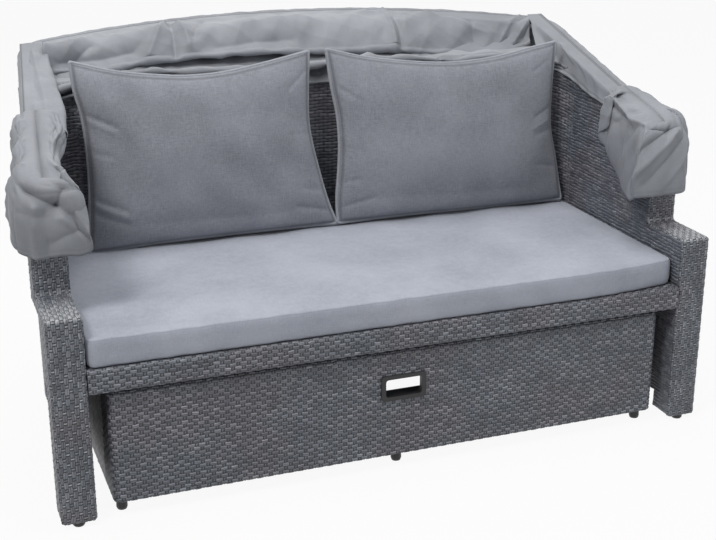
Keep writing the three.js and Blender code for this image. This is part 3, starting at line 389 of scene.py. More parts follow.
WICKER = wicker_material()
SEAT_CLOTH = cloth_material(
    "seat_cloth", light=(0.40, 0.42, 0.485), dark=(0.24, 0.26, 0.31),
    thread=0.0005, roughness=0.85, heather=0.30, light_patches=0.5)
PILLOW_CLOTH = cloth_material(
    "pillow_cloth", light=(0.300, 0.314, 0.356), dark=(0.155, 0.162, 0.188),
    thread=0.0006, roughness=0.88, heather=0.45, light_patches=0.45)
CANOPY_CLOTH = cloth_material(
    "canopy_cloth", light=(0.285, 0.300, 0.328), dark=(0.140, 0.148, 0.168),
    thread=0.0002, roughness=0.6, heather=0.10, sheen=0.1, light_patches=0.5)
PIPING = cloth_material(
    "piping_cloth", light=(0.36, 0.375, 0.42), dark=(0.22, 0.23, 0.26),
    thread=0.0003, roughness=0.85, heather=0.3)
COATED = plain_material("coated_tube", (0.028, 0.029, 0.032), roughness=0.38)
ZINC = plain_material("zinc_steel", (0.48, 0.49, 0.51), roughness=0.3, metallic=0.9, speckle=0.1)
BLACK = plain_material("black_plastic", (0.012, 0.012, 0.014), roughness=0.36)

for name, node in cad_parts.items():
    material = COATED
    if "bolt" in name:
        material = ZINC
    if "glide" in name or "handle" in name:
        material = BLACK
    node.data.materials.clear()
    node.data.materials.append(material)


def dress(pieces, body, node):
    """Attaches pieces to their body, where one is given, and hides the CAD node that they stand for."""
    for piece in pieces:
        if body:
            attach(piece, body)
        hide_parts(node)


# Weave
def weave_lines(start, end, pitch, shares):
    """Places of grid lines from start to end: the pitch is stretched to fit, with lines at shares of it."""
    count = max(1, round((end - start) / pitch))
    lines = (np.arange(count)[:, None] + np.array(shares)[None]).ravel() / count
    return start + (end - start) * np.append(lines, 1.0), (end - start) / count


def joined_lines(parts, pitch, shares):
    """Grid lines over several parts of whole pitches, and each line's distance in unstretched pitches."""
    places, measures, start = [], [], 0.0
    for low, high in zip(parts[:-1], parts[1:]):
        lines, fitted = weave_lines(low, high, pitch, shares)
        places.append(lines[:-1])
        measures.append(start + (lines[:-1] - low) * pitch / fitted)
        start += (high - low) * pitch / fitted
    return np.append(np.concatenate(places), parts[-1]), np.append(np.concatenate(measures), start)


# Shares of a pitch at which the grid has lines: more where the weave is seen from near
FINE_ROWS = (0.0, 0.15, 0.5, 0.85)
FINE_STAKES = (0.0, 0.27, 0.5, 0.73)
PLAIN_ROWS = (0.0, 0.18, 0.82)
PLAIN_STAKES = (0.0, 0.33, 0.67)
WIDE_STAKES = (0.0, 0.5)


def weave(u, v, stake, row, seed, bar_tone):
    """Relief of a plain weave. u runs along the strands and v across them.

    A strand in row r passes over each second stake and dives under the ones between: its height follows
    2.6 cos(pi (u / stake + r)) + 1.9 held between -1 and 1, so most of its length shows. Its section is
    rounded, with a valley at both edges. Where it dives, the stake shows as a short bar. The results are the
    height, a pit value of 1 in the valleys and beside the bars, where shade is painted, and a tone that
    varies by strand and by visible stretch and is paler towards a strand's edges, which paints a highlight.
    """
    size = 4096
    table = np.random.default_rng(seed).random(size)
    index = np.floor(v / row + 1e-4).astype(int)
    edge = np.abs(2 * (v / row - index) - 1)
    phase = u / stake + index
    over = np.clip(2.6 * np.cos(np.pi * phase) + 1.9, -1, 1)
    strand = LIFT * (0.45 * over - 0.40 * edge**2 - np.where(edge > 0.9, 0.40, 0.0))
    near = np.abs(u / stake - np.round(u / stake)) * stake
    bar = LIFT * (0.22 - 0.9 * (near / 0.0036) ** 2 - np.where(edge > 0.9, 0.3, 0.0))
    height = np.maximum(strand, bar)
    stretch = np.round(phase / 2).astype(int)
    run = np.floor(u / (stake * 9) + index * 0.37).astype(int)
    by_run = table[(index * 13 + run * 5) % size]
    by_stretch = table[(index * 31 + stretch * 17) % size]
    # The edge term is a painted highlight: strands are paler towards their edges.
    strand_tone = 0.22 + 0.22 * by_run + 0.28 * by_stretch + 0.75 * (edge**2 - 0.2)
    column = np.round(u / stake).astype(int)
    stake_tone = bar_tone * (0.6 + 0.8 * table[(column * 7 + index * 3 + 11) % size])
    tone = np.where(bar > strand, stake_tone, strand_tone)
    # pit marks painted shade: the valleys at the strands' edges and the gaps beside the bars
    pit = np.where(np.where(edge > 0.9, True, (over < 0.5) & (near > 0.002)), 1.0, 0.0)
    return height, pit, tone


def woven(name, base, normal, u, v, stake, row, seed, worn=None, bar_tone=0.42, **more):
    """A woven skin: a grid of base points pushed along their normals by the weave.

    Strands swell where they lie on top and narrow where they dive: a point moves across them by
    0.05 row cos(pi (u / stake + r)) (2 t - 1), t being its place across the strand from 0 to 1. A slow ripple
    keeps the lines from being ruled.
    """
    height, pit, tone = weave(u, v, stake, row, seed, bar_tone)
    axis = 0 if abs(v[1, 0] - v[0, 0]) > 1e-9 else 1
    across = np.gradient(base, axis=axis)
    across /= np.linalg.norm(across, axis=-1, keepdims=True) + 1e-9
    index = np.floor(v / row + 1e-4)
    swell = 0.05 * row * np.cos(np.pi * (u / stake + index)) * (2 * (v / row - index) - 1)
    swell += ripple(u, v, seed, 0.035, 0.10 * row, 5)
    last = np.arange(base.shape[axis]) == base.shape[axis] - 1
    last |= np.arange(base.shape[axis]) == 0
    swell = swell * ~(last[:, None] if axis == 0 else last[None])
    points = base + normal * (height - SINK)[..., None] + across * swell[..., None]
    worn = np.zeros_like(tone) if worn is None else worn
    return surface(name, points, WICKER, np.stack([u, v], -1), tone=tone, pit=pit, worn=worn, **more)


TRIM_OUTLINE = [
    (0.0, FOOT, 0.002), (0.0, ARM_TOP, 0.009), (STEP, ARM_TOP, 0.010), (STEP, WING_LOW, 0.010),
    (WING_REAR, WING_LOW + (WING_REAR - STEP) * WING_SLOPE, 0.003), (WING_REAR, BEAM_LOW, 0.003),
    (ARM, BEAM_LOW, 0.003), (ARM, FOOT, 0.002),
]


def edge_strip(name, line, centre, width, edge, seed, closed, shares=(FINE_STAKES, FINE_ROWS)):
    """A strip that follows a line in y and z across a width in x, with both edges rolled over by arcs."""
    s, stake = weave_lines(0, line_length(line), STAKE, shares[0])
    s_used = s[:-1] if closed else s
    flat = width - 2 * edge
    arc = edge * math.pi / 2
    q, row = weave_lines(0, flat + 2 * arc, ROW, shares[1])
    points, out = along_line(line, s_used)
    angle = np.where(q < arc, -(arc - q) / edge, np.where(q > arc + flat, (q - arc - flat) / edge, 0.0))
    across = np.clip(q - arc, 0, flat) - flat / 2 + edge * np.sin(angle)
    inset = edge * (1 - np.cos(angle))
    base = np.zeros((len(s_used), len(q), 3))
    base[..., 0] = centre + across[None]
    base[..., 1] = FRONT + points[:, None, 0] - out[:, None, 0] * inset[None]
    base[..., 2] = points[:, None, 1] - out[:, None, 1] * inset[None]
    normal = np.zeros_like(base)
    normal[..., 0] = np.sin(angle)[None]
    normal[..., 1] = out[:, None, 0] * np.cos(angle)[None]
    normal[..., 2] = out[:, None, 1] * np.cos(angle)[None]
    u = np.broadcast_to(s_used[:, None], base.shape[:2])
    v = np.broadcast_to(q[None], base.shape[:2])
    # Painted highlight over the arm top's rounded front edge: in full up to 30 mm behind the front, gone by
    # 130 mm.
    top = smoothstep(ARM_TOP - 0.012, ARM_TOP, base[..., 2]) * smoothstep(0.13, 0.03, base[..., 1] - FRONT)
    worn = np.where(base[..., 2] > ARM_TOP + 0.01, 0.0, top)
    return woven(name, base, normal, u, v, stake, row, seed, worn=worn, bar_tone=0.95, wrap=(closed, False))


def flat_side(x, face, corners, seed, shares, keep, slope_from):
    """A flat woven side at a place in x. Corners are the y and z values that the grid has lines at.

    keep tells from the middle y and z of a face whether it stays, and the rows above ARM_TOP start on the
    wing's front, or on its slope where that lies further back.
    """
    y_parts, z_parts = corners
    y, along = joined_lines(y_parts, STAKE, shares[0])
    z, up = joined_lines(z_parts, ROW, shares[1])
    yy, zz = np.meshgrid(y, z)
    rolled = 0.007
    start = np.maximum(slope_from, STEP + rolled + (zz - WING_LOW + rolled) / WING_SLOPE)
    yy = np.where(zz > ARM_TOP, np.maximum(yy, np.minimum(start, y_parts[-1])), yy)
    mid_y = (yy[:-1, 1:] + yy[:-1, :-1] + yy[1:, 1:] + yy[1:, :-1]) / 4
    mid_z = (zz[1:, 1:] + zz[:-1, 1:]) / 2
    wide = (yy[:-1, 1:] - yy[:-1, :-1] > 1e-6) | (yy[1:, 1:] - yy[1:, :-1] > 1e-6)
    base = np.stack([np.full_like(yy, x), yy + FRONT, zz], -1)
    normal = np.zeros_like(base)
    normal[..., 0] = face
    u = np.interp(yy, y, along)
    v = np.broadcast_to(up[:, None], yy.shape)
    return woven("side", base, normal, u, v, STAKE, ROW, seed, keep=keep(mid_y, mid_z) & wide, flip=face < 0)


def arm_panel_faces(side):
    """The inner side of an arm over its whole outline, and the thin panel's outer side behind the trim."""
    column, wing, under = ARM - FLAT_INSET, STEP + FLAT_INSET, ARM_TOP - FLAT_INSET
    top = BACK_TOP - 0.004
    inner = flat_side(
        side * INNER, -side,
        ([FLAT_INSET, column, wing, POST_FRONT + 0.004],
         [FOOT + FLAT_INSET, PANEL_LOW, under, WING_LOW, top]),
        6, (PLAIN_STAKES, FINE_ROWS),
        lambda y, z: ((z > PANEL_LOW) | (y < column)) & ((z < under) | (y > wing)), wing)
    overlap = 0.01
    beam, wing_rear = BEAM_LOW + overlap, WING_REAR - overlap
    outer = flat_side(
        side * PANEL, side,
        ([ARM - overlap, STEP, wing_rear, DEPTH - 0.008], [PANEL_LOW, beam, WING_LOW, top]),
        7, (PLAIN_STAKES, PLAIN_ROWS),
        lambda y, z: (z < beam) | (y > wing_rear), wing_rear)
    return [inner, outer]


def trim_side(side):
    """The outer face of the column, of the beam under the arm top and of the wing's front."""
    column, wing = ARM - FLAT_INSET, STEP + FLAT_INSET
    beam, under = BEAM_LOW + FLAT_INSET, ARM_TOP - FLAT_INSET
    return flat_side(
        side * HALF, side,
        ([FLAT_INSET, column, wing, WING_REAR - FLAT_INSET],
         [FOOT + FLAT_INSET, beam, under, WING_LOW, WING_LOW + 0.015]),
        5, (FINE_STAKES, FINE_ROWS),
        lambda y, z: ((z > beam) | (y < column)) & ((z < under) | (y > wing)), wing)


def rear_post(side):
    """The square woven column at the rear corner, and its cap."""
    low, high = PANEL - POST_WIDTH, PANEL
    line = rounded_line([(side * low, POST_FRONT, 0.005), (side * high, POST_FRONT, 0.005),
                         (side * high, DEPTH, 0.005), (side * low, DEPTH, 0.005)])
    base, normal, u, v, stake, row = plan_strip(line, FOOT, BACK_TOP, closed=True, flip=side > 0)
    wall = woven("post", base, normal, u, v, stake, row, 9, wrap=(False, True), flip=side < 0)
    cap = np.array([[[side * low, POST_FRONT, 0], [side * high, POST_FRONT, 0]],
                    [[side * low, DEPTH, 0], [side * high, DEPTH, 0]]]) + [0, FRONT, BACK_TOP - 0.001]
    zero = np.zeros((2, 2))
    lid = surface("cap", cap, WICKER, cap[..., :2], flip=side < 0, tone=zero + 0.5, pit=zero, worn=zero)
    return [wall, lid]


def plan_strip(line, z0, z1, flip=False, closed=False):
    """A woven wall: a line in plan carried up from z0 to z1, its rows level."""
    s, stake = weave_lines(0, line_length(line), STAKE, PLAIN_STAKES)
    z, row = weave_lines(z0, z1, ROW, PLAIN_ROWS)
    s_used = s[:-1] if closed else s
    points, out = along_line(line, s_used)
    base = np.zeros((len(z), len(s_used), 3))
    base[..., 0] = points[None, :, 0]
    base[..., 1] = points[None, :, 1] + FRONT
    base[..., 2] = z[:, None]
    normal = np.zeros_like(base)
    normal[..., :2] = (-out if flip else out)[None]
    u = np.broadcast_to(s_used[None], base.shape[:2])
    v = np.broadcast_to(z[:, None] - z0, base.shape[:2])
    return base, normal, u, v, stake, row


def section_strip(line, x0, x1, shares):
    """A woven skin from a line in y and z carried along x, its rows running along x."""
    s, row = weave_lines(0, line_length(line), ROW, shares[1])
    x, stake = weave_lines(x0, x1, STAKE, shares[0])
    points, out = along_line(line, s)
    base = np.zeros((len(s), len(x), 3))
    base[..., 0] = x[None]
    base[..., 1] = points[:, None, 0] + FRONT
    base[..., 2] = points[:, None, 1]
    normal = np.zeros_like(base)
    normal[..., 1] = out[:, None, 0]
    normal[..., 2] = out[:, None, 1]
    u = np.broadcast_to(x[None] - x0, base.shape[:2])
    v = np.broadcast_to(s[:, None], base.shape[:2])
    return base, normal, u, v, stake, row


def make_arm(name, side):
    """Trim, inner and outer panel, rear column and the narrow rims of the panel."""
    plain = (PLAIN_STAKES, PLAIN_ROWS)
    outline = rounded_line(TRIM_OUTLINE)
    trim = edge_strip("trim", outline, side * (HALF - ARM / 2), ARM, EDGE, 3 + side, True)
    rim_line = rounded_line([(WING_REAR - 0.01, WING_LOW + (WING_REAR - 0.01 - STEP) * WING_SLOPE, 0),
                             (WING_LEVEL, BACK_TOP, 0.05), (DEPTH - 0.004, BACK_TOP, 0)], closed=False)
    middle, width = side * (INNER + PANEL) / 2, PANEL - INNER
    rim = edge_strip("rim", rim_line, middle, width, 0.006, 11, False, plain)
    low_line = np.array([(POST_FRONT, PANEL_LOW), (ARM - 0.01, PANEL_LOW)])
    low = edge_strip("low", low_line, middle, width, 0.006, 12, False, plain)
    arm = joined(name, [trim, trim_side(side)])
    panel = joined(name + "_panel", [rim, low, *arm_panel_faces(side), *rear_post(side)])
    dress([arm, panel], "sofa", name)


def make_back():
    """A thin slab, with a section that runs up the front, over the top and down the rear, and two corners."""
    wide = PANEL - POST_WIDTH - HAIR
    middle = (BACK_FRONT + DEPTH) / 2
    front = rounded_line([(BACK_FRONT, PANEL_LOW, 0), (BACK_FRONT, BACK_TOP, EDGE), (middle, BACK_TOP, 0)],
                         closed=False)
    rear = rounded_line([(middle, BACK_TOP, 0), (DEPTH, BACK_TOP, EDGE), (DEPTH, PANEL_LOW, 0),
                         (BACK_FRONT, PANEL_LOW, 0)], closed=False)
    pieces = []
    for line, seed, stakes in ((front, 21, PLAIN_STAKES), (rear, 22, WIDE_STAKES)):
        base, normal, u, v, stake, row = section_strip(line, -wide, wide, (stakes, PLAIN_ROWS))
        pieces.append(woven("slab", base, normal, u, v, stake, row, seed))
    corners = []
    for side in (-1, 1):
        turn = np.linspace(0, math.pi / 2, 24)
        reach = INNER - HAIR - CORNER
        across, behind = CORNER * np.cos(turn), CORNER * np.sin(turn)
        line = np.stack([side * (reach + across), BACK_FRONT - CORNER + behind], -1)
        base, normal, u, v, stake, row = plan_strip(line, CORNER_LOW, BACK_TOP, flip=side < 0)
        top = np.minimum(BACK_TOP, WING_LOW + (base[..., 1] - FRONT - STEP) * WING_SLOPE)
        base[..., 2] = CORNER_LOW + (base[..., 2] - CORNER_LOW) * (top - CORNER_LOW) / (BACK_TOP - CORNER_LOW)
        corners.append(woven("corner", base, normal, u, v, stake, row, 24 + side, flip=side > 0))
    corner_piece = joined("back_weave_corners", corners)
    pieces[0].name = "back_weave_front"
    pieces[1].name = "back_weave_rear"
    dress([pieces[0], pieces[1], corner_piece], "sofa", "back_weave")


def make_apron():
    """A woven sleeve round the front rail."""
    rear, low, high, rear_edge = 0.046, 0.288, 0.3417, 0.002
    line = rounded_line([(rear, high, rear_edge), (rear, low, rear_edge),
                         (0.0, low, EDGE), (0.0, high, EDGE)])
    reach = INNER - HAIR
    base, normal, u, v, stake, row = section_strip(line, -reach, reach, (FINE_STAKES, FINE_ROWS))
    apron = woven("seat_apron_weave", base, normal, u, v, stake, row, 31)
    dress([apron], "sofa", "seat_apron_weave")


STOOL_HALF, STOOL_FRONT, STOOL_REAR = 0.639, 0.017, 0.600
STOOL_LOW, STOOL_TOP, STOOL_SKIN = 0.032, 0.280, 0.008
STOOL_CORNER, STOOL_RIM = 0.015, 0.009
SLOT_HALF, SLOT_Z, SLOT_HIGH = 0.046, 0.196, 0.0245


def stool_wall(name, plan, shares, seed):
    """A wall along a line in plan that turns in under its bottom edge and rolls over at the top."""
    s, stake = weave_lines(0, line_length(plan), STAKE, shares[0])
    plan_points, left = along_line(plan, s)
    lip, lip_edge = 0.05, 0.003
    section = rounded_line([(STOOL_SKIN, STOOL_LOW + lip, 0), (STOOL_SKIN, STOOL_LOW, lip_edge),
                            (0, STOOL_LOW, lip_edge), (0, STOOL_TOP, STOOL_RIM),
                            (STOOL_RIM + 0.001, STOOL_TOP, 0)], closed=False)
    t, row = weave_lines(0, line_length(section), ROW, shares[1])
    profile, out = along_line(section, t)
    base = np.zeros((len(t), len(s), 3))
    base[..., :2] = plan_points[None] + left[None] * profile[:, None, :1]
    base[..., 1] += FRONT
    base[..., 2] = profile[:, None, 1]
    normal = np.zeros_like(base)
    normal[..., :2] = left[None] * out[:, None, :1]
    normal[..., 2] = out[:, None, 1]
    u = np.broadcast_to(s[None], base.shape[:2])
    v = np.broadcast_to(t[:, None], base.shape[:2])
    centre = (base[:-1, :-1] + base[:-1, 1:] + base[1:, :-1] + base[1:, 1:]) / 4
    slot = (np.abs(centre[..., 0]) < SLOT_HALF) & (np.abs(centre[..., 2] - SLOT_Z) < SLOT_HIGH)
    slot &= centre[..., 1] < FRONT + STOOL_FRONT + 0.02
    return woven(name, base, normal, u, v, stake, row, seed, keep=~slot)


def make_footstool():
    """A finely woven front, plainer walls behind, and a top inside the rolled rim."""
    half, meet = STOOL_HALF, STOOL_FRONT + 0.1
    front = rounded_line([(-half, meet, 0), (-half, STOOL_FRONT, STOOL_CORNER),
                          (half, STOOL_FRONT, STOOL_CORNER), (half, meet, 0)], closed=False)
    rear = rounded_line([(half, meet, 0), (half, STOOL_REAR, STOOL_CORNER),
                         (-half, STOOL_REAR, STOOL_CORNER), (-half, meet, 0)], closed=False)
    walls = [stool_wall("footstool_front", front, (FINE_STAKES, FINE_ROWS), 41),
             stool_wall("footstool_walls", rear, (WIDE_STAKES, PLAIN_ROWS), 43)]
    x, stake = weave_lines(-half + STOOL_RIM, half - STOOL_RIM, STAKE, WIDE_STAKES)
    y, row = weave_lines(STOOL_FRONT + STOOL_RIM, STOOL_REAR - STOOL_RIM, ROW, PLAIN_ROWS)
    xx, yy = np.meshgrid(x, y)
    base = np.stack([xx, yy + FRONT, np.full_like(xx, STOOL_TOP)], -1)
    normal = np.broadcast_to(np.array([0.0, 0.0, 1.0]), base.shape)
    top = woven("footstool_top", base, normal, xx - x[0], yy - y[0], stake, row, 42)
    dress([*walls, top], "footstool", "footstool_weave")


# Curves and cloth
def spline(points, count):
    """A smooth line through points by cubic Hermite pieces, sampled at even steps of chord length."""
    p = np.array(points, float)
    d = np.concatenate([[0], np.cumsum(np.linalg.norm(np.diff(p, axis=0), axis=1))])
    m = np.gradient(p, d, axis=0)
    t = np.linspace(0, d[-1], count)
    i = np.clip(np.searchsorted(d, t, side="right") - 1, 0, len(d) - 2)
    h = (d[i + 1] - d[i])[:, None]
    s = (t - d[i])[:, None] / h
    return ((2 * s**3 - 3 * s**2 + 1) * p[i] + (s**3 - 2 * s**2 + s) * h * m[i]
            + (3 * s**2 - 2 * s**3) * p[i + 1] + (s**3 - s**2) * h * m[i + 1])


def surface_normals(points):
    """Unit normals of a grid of points, from the differences along its rows and columns."""
    du = np.gradient(points, axis=1)
    dv = np.gradient(points, axis=0)
    normal = np.cross(du, dv)
    return normal / (np.linalg.norm(normal, axis=-1, keepdims=True) + 1e-12)


def crease_height(a, b, creases, sharp=1.5):
    """Sum of folds over places (a, b).

    Each fold (a0, b0, a1, b1, width, height) is a ridge, or a valley where its height is negative, along the
    line between two places: height * exp(-(distance / width)^sharp).
    """
    total = np.zeros_like(a)
    for a0, b0, a1, b1, width, height in creases:
        la, lb = a1 - a0, b1 - b0
        share = np.clip(((a - a0) * la + (b - b0) * lb) / (la * la + lb * lb), 0, 1)
        distance = np.hypot(a - a0 - share * la, b - b0 - share * lb)
        total += height * np.exp(-(distance / width) ** sharp)
    return total


def ripple(a, b, seed, size, height, count=14):
    """Slight unevenness: a sum of sine waves of random direction whose lengths are about size in metres."""
    rng = np.random.default_rng(seed)
    total = np.zeros_like(a)
    for _ in range(count):
        angle, phase = rng.random(2) * TAU
        length = size * (0.6 + rng.random())
        total += np.sin((a * math.cos(angle) + b * math.sin(angle)) * TAU / length + phase)
    return total * height / math.sqrt(count)


def crumple(a, b, seed, size, height):
    """Sharp-edged random folds: waves (1 - |sin|)^1.6 of places (a, b) in random directions."""
    count = 5
    random = np.random.default_rng(seed)
    total = np.zeros_like(a, dtype=float)
    for _ in range(count):
        angle, phase = random.uniform(0, math.pi, 2)
        length = size * random.uniform(0.7, 1.6)
        across = a * math.cos(angle) + b * math.sin(angle)
        bent = across + 0.25 * size * np.sin((b * math.cos(angle) - a * math.sin(angle)) / size + phase)
        total += (1 - np.abs(np.sin(bent / length * math.pi + phase))) ** 1.6 * height / count
    return total


def shell(name, points, seam=None, flip=False):
    """A sheet of canopy cloth with two faces and a closed rim from a grid of points on its outer face."""
    rows, columns = points.shape[:2]
    normal = surface_normals(points) * (-1 if flip else 1)
    inner = points - normal * CLOTH
    total = rows * columns
    front = grid_faces(rows, columns, flip=flip)
    back = grid_faces(rows, columns, flip=not flip) + total
    index = np.arange(total).reshape(rows, columns)
    rim = np.concatenate([index[0, :-1], index[:-1, -1], index[-1, :0:-1], index[:0:-1, 0]])
    ahead = np.roll(rim, -1)
    edge = np.stack([rim, rim + total, ahead + total, ahead], -1)
    faces = np.concatenate([front, back, edge[:, ::-1] if flip else edge])
    # seam paints shade along the sheet's seams and hems
    seam = np.zeros((rows, columns)) if seam is None else seam
    both = np.concatenate([points.reshape(-1, 3), inner.reshape(-1, 3)])
    return mesh_object(name, both, faces, CANOPY_CLOTH, seam=np.concatenate([seam.reshape(-1)] * 2))


def stitch(across, place, width):
    """A stitched line at a place across a sheet: exp(-((across - place) / width)^2)."""
    return np.exp(-((across - place) / width) ** 2)


def flat_size(points):
    """The size that a sheet was cut to: its mean length along the rows, and its area over that length."""
    along = np.linalg.norm(np.diff(points, axis=1), axis=-1).sum(1).mean()
    first = points[1:, 1:] - points[:-1, :-1]
    second = points[1:, :-1] - points[:-1, 1:]
    area = np.linalg.norm(np.cross(first, second), axis=-1).sum() / 2
    return float(along), float(area / along)


def closed_tube(name, path, radius, material):
    """A round tube along a closed 3-D line: each ring is a circle square to the line's direction."""
    sides = 8
    ahead = np.roll(path, -1, 0) - np.roll(path, 1, 0)
    ahead /= np.linalg.norm(ahead, axis=1, keepdims=True)
    across = np.cross(ahead, np.cross(ahead, [0.05, -0.3, 1.0]))
    across /= np.linalg.norm(across, axis=1, keepdims=True)
    over = np.cross(ahead, across)
    turn = np.arange(sides) * TAU / sides
    ring = over[:, None] * np.cos(turn)[None, :, None] + across[:, None] * np.sin(turn)[None, :, None]
    return surface(name, path[:, None] + radius * ring, material, wrap=(True, True))


# Cushions
CUSHION_HALF_X = 0.674
CUSHION_FRONT, CUSHION_REAR = 0.0065, 0.6245
CUSHION_LOW, CUSHION_TOP = 0.3425, 0.4035
CUSHION_EDGE = 0.008
CUSHION_CROWN = 0.008
CUSHION_SWEEP, CUSHION_SWEEP_LENGTH = 0.024, 0.240


def make_seat_cushion():
    """Rings round the swept outline: up the boxing with its two seams, then inwards over the crowned top.

    At a share of the way in from the edge to the middle line, the top lies crown sin(90 degrees share)^0.8
    higher. The right front corner is swept back by the square of how far it lies into the sweep's length.
    """
    half, front_radius, rear_radius = CUSHION_HALF_X, 0.016, 0.105
    line = rounded_line([(-half, CUSHION_FRONT, front_radius), (half, CUSHION_FRONT, front_radius),
                         (half, CUSHION_REAR, rear_radius), (-half, CUSHION_REAR, rear_radius)])
    count = 560
    outline, left = along_line(line, np.arange(count) * line_length(line) / count)
    mid_y = (CUSHION_FRONT + CUSHION_REAR) / 2
    half_y = (CUSHION_REAR - CUSHION_FRONT) / 2
    core = half - half_y
    spine = np.stack([np.clip(outline[:, 0], -core, core), np.full(count, mid_y)], -1)
    arc = np.linspace(0, math.pi / 2, 6)
    edge, swell, boxing = CUSHION_EDGE, -0.0015, 0.014
    walls = [(edge * (1 - math.sin(a)), CUSHION_LOW + edge * (1 - math.cos(a))) for a in arc]
    walls += [(swell, z) for z in np.linspace(CUSHION_LOW + boxing, CUSHION_TOP - boxing, 5)]
    walls += [(edge * (1 - math.cos(a)), CUSHION_TOP - edge * (1 - math.sin(a))) for a in arc]
    seam_rings = (3, 13)
    rings, seam = [], []
    for k, (inset, z) in enumerate(walls):
        rings.append(np.column_stack([outline + left * inset, np.full(count, z)]))
        # the two seam rings on the rounded edges get painted shade
        seam.append(0.35 if k in seam_rings else 0.0)
    for share in np.linspace(0, 1, 46)[1:]:
        lift = CUSHION_CROWN * math.sin(share * math.pi / 2) ** 0.8
        start = outline + left * edge
        rings.append(np.column_stack([start + (spine - start) * share, np.full(count, CUSHION_TOP + lift)]))
        seam.append(0.0)
    points = np.array(rings)
    sweep = np.clip((points[..., 0] - half + CUSHION_SWEEP_LENGTH) / CUSHION_SWEEP_LENGTH, 0, 1) ** 2
    points[..., 1] += CUSHION_SWEEP * sweep * np.clip((mid_y - points[..., 1]) / half_y, 0, 1)
    reach = smoothstep(0.0, 0.05, np.minimum(half - np.abs(points[..., 0]),
                                             half_y - np.abs(points[..., 1] - mid_y)))
    top = points[..., 2] > CUSHION_TOP - 0.001
    points[..., 2] += np.where(top, ripple(points[..., 0], points[..., 1], 5, 0.22, 0.0016) * reach, 0)
    pucker = ripple(points[..., 0], points[..., 1], 6, 0.045, 0.0007) * ~top
    points[..., :2] += left[None] * pucker[..., None]
    points[..., 1] += FRONT
    seams = np.broadcast_to(np.array(seam)[:, None], points.shape[:2]).copy()
    cushion = surface("seat_cushion", points, SEAT_CLOTH, wrap=(False, True), flip=True, seam=seams)
    dress([cushion], "sofa", "seat_cushion")


PILLOW_LEAN = math.radians(5)
PILLOW_FOOT_Y, PILLOW_FOOT_Z = 0.527, 0.411
PILLOW_HALF_THICK = 0.050
PILLOW_SEAM_INSET = 0.0062
PIPING_RADIUS = 0.0040


def pillow_place(x, height, depth):
    """Row-frame points of places in a leaning pillow: across, up its plane, and out of it to the front."""
    y = FRONT + PILLOW_FOOT_Y + height * math.sin(PILLOW_LEAN) - depth * math.cos(PILLOW_LEAN)
    z = PILLOW_FOOT_Z + height * math.cos(PILLOW_LEAN) + depth * math.sin(PILLOW_LEAN)
    return np.stack([x, y, z], -1)


def make_pillow(name, sides, wrinkles, seed):
    """A piped pillow between its bottom, right, top and left lines, each from left to right or upwards.

    The middle sheet is the blend of the four lines. Both faces bulge by (1 - |u|^2.4)(1 - |v|^2.4) to the
    power 0.42, with a stitched valley inside the piping and folds drawn in from the sides.
    """
    across, up = 150, 110
    bottom, right, top, left = (spline(line, n) for line, n in zip(sides, (across, up, across, up)))
    s = np.linspace(0, 1, across)[None, :, None]
    t = np.linspace(0, 1, up)[:, None, None]
    s, t = ((1 - np.cos(np.pi * share)) / 2 * 0.35 + share * 0.65 for share in (s, t))
    bottom, top = (spline_at(line, s[0, :, 0]) for line in (bottom, top))
    right, left = (spline_at(line, t[:, 0, 0]) for line in (right, left))
    plane = ((1 - t) * bottom[None] + t * top[None] + (1 - s) * left[:, None] + s * right[:, None]
             - (1 - s) * (1 - t) * bottom[0] - s * (1 - t) * bottom[-1]
             - (1 - s) * t * top[0] - s * t * top[-1])
    u, v = 2 * s[..., 0] - 1, 2 * t[..., 0] - 1
    bulge = ((1 - np.abs(u) ** 2.4) * (1 - np.abs(v) ** 2.4)) ** 0.42
    width, height = 0.62, 0.42
    edge = np.minimum((1 - np.abs(u)) * width / 2, (1 - np.abs(v)) * height / 2)
    valley = np.exp(-((edge - PILLOW_SEAM_INSET) / 0.0026) ** 2)
    a = np.broadcast_to(u * width / 2, bulge.shape)
    b = np.broadcast_to(v * height / 2, bulge.shape)
    depth = PILLOW_HALF_THICK * bulge
    fade = smoothstep(0.0, 0.02, edge)
    folds = 0.7 * crease_height(a, b, wrinkles) * fade + crease_height(a, b, BODY_FOLDS)
    folds += ripple(a, b, seed, 0.16, 0.0016) * fade
    # painted shade in the stitched valley inside the piping
    seam = 0.6 * valley
    pieces = []
    for face, part in ((1, "front"), (-1, "back")):
        out = depth + (folds if face > 0 else folds * 0.4) - 0.002 * valley
        points = pillow_place(plane[..., 0], plane[..., 1], face * np.maximum(out, 0.0004))
        pieces.append(surface(f"{name}_{part}", points, PILLOW_CLOTH, flip=face < 0, seam=seam))
    body = joined(name, pieces)
    loop = np.concatenate([bottom[:-1], right[:-1], top[:0:-1], left[:0:-1]])
    smooth_loop = (loop + np.roll(loop, 1, 0) + np.roll(loop, -1, 0)) / 3
    path = pillow_place(smooth_loop[:, 0], smooth_loop[:, 1], np.zeros(len(loop)))
    piping = closed_tube(f"{name}_piping", path, PIPING_RADIUS, PIPING)
    dress([body, piping], "sofa", name)


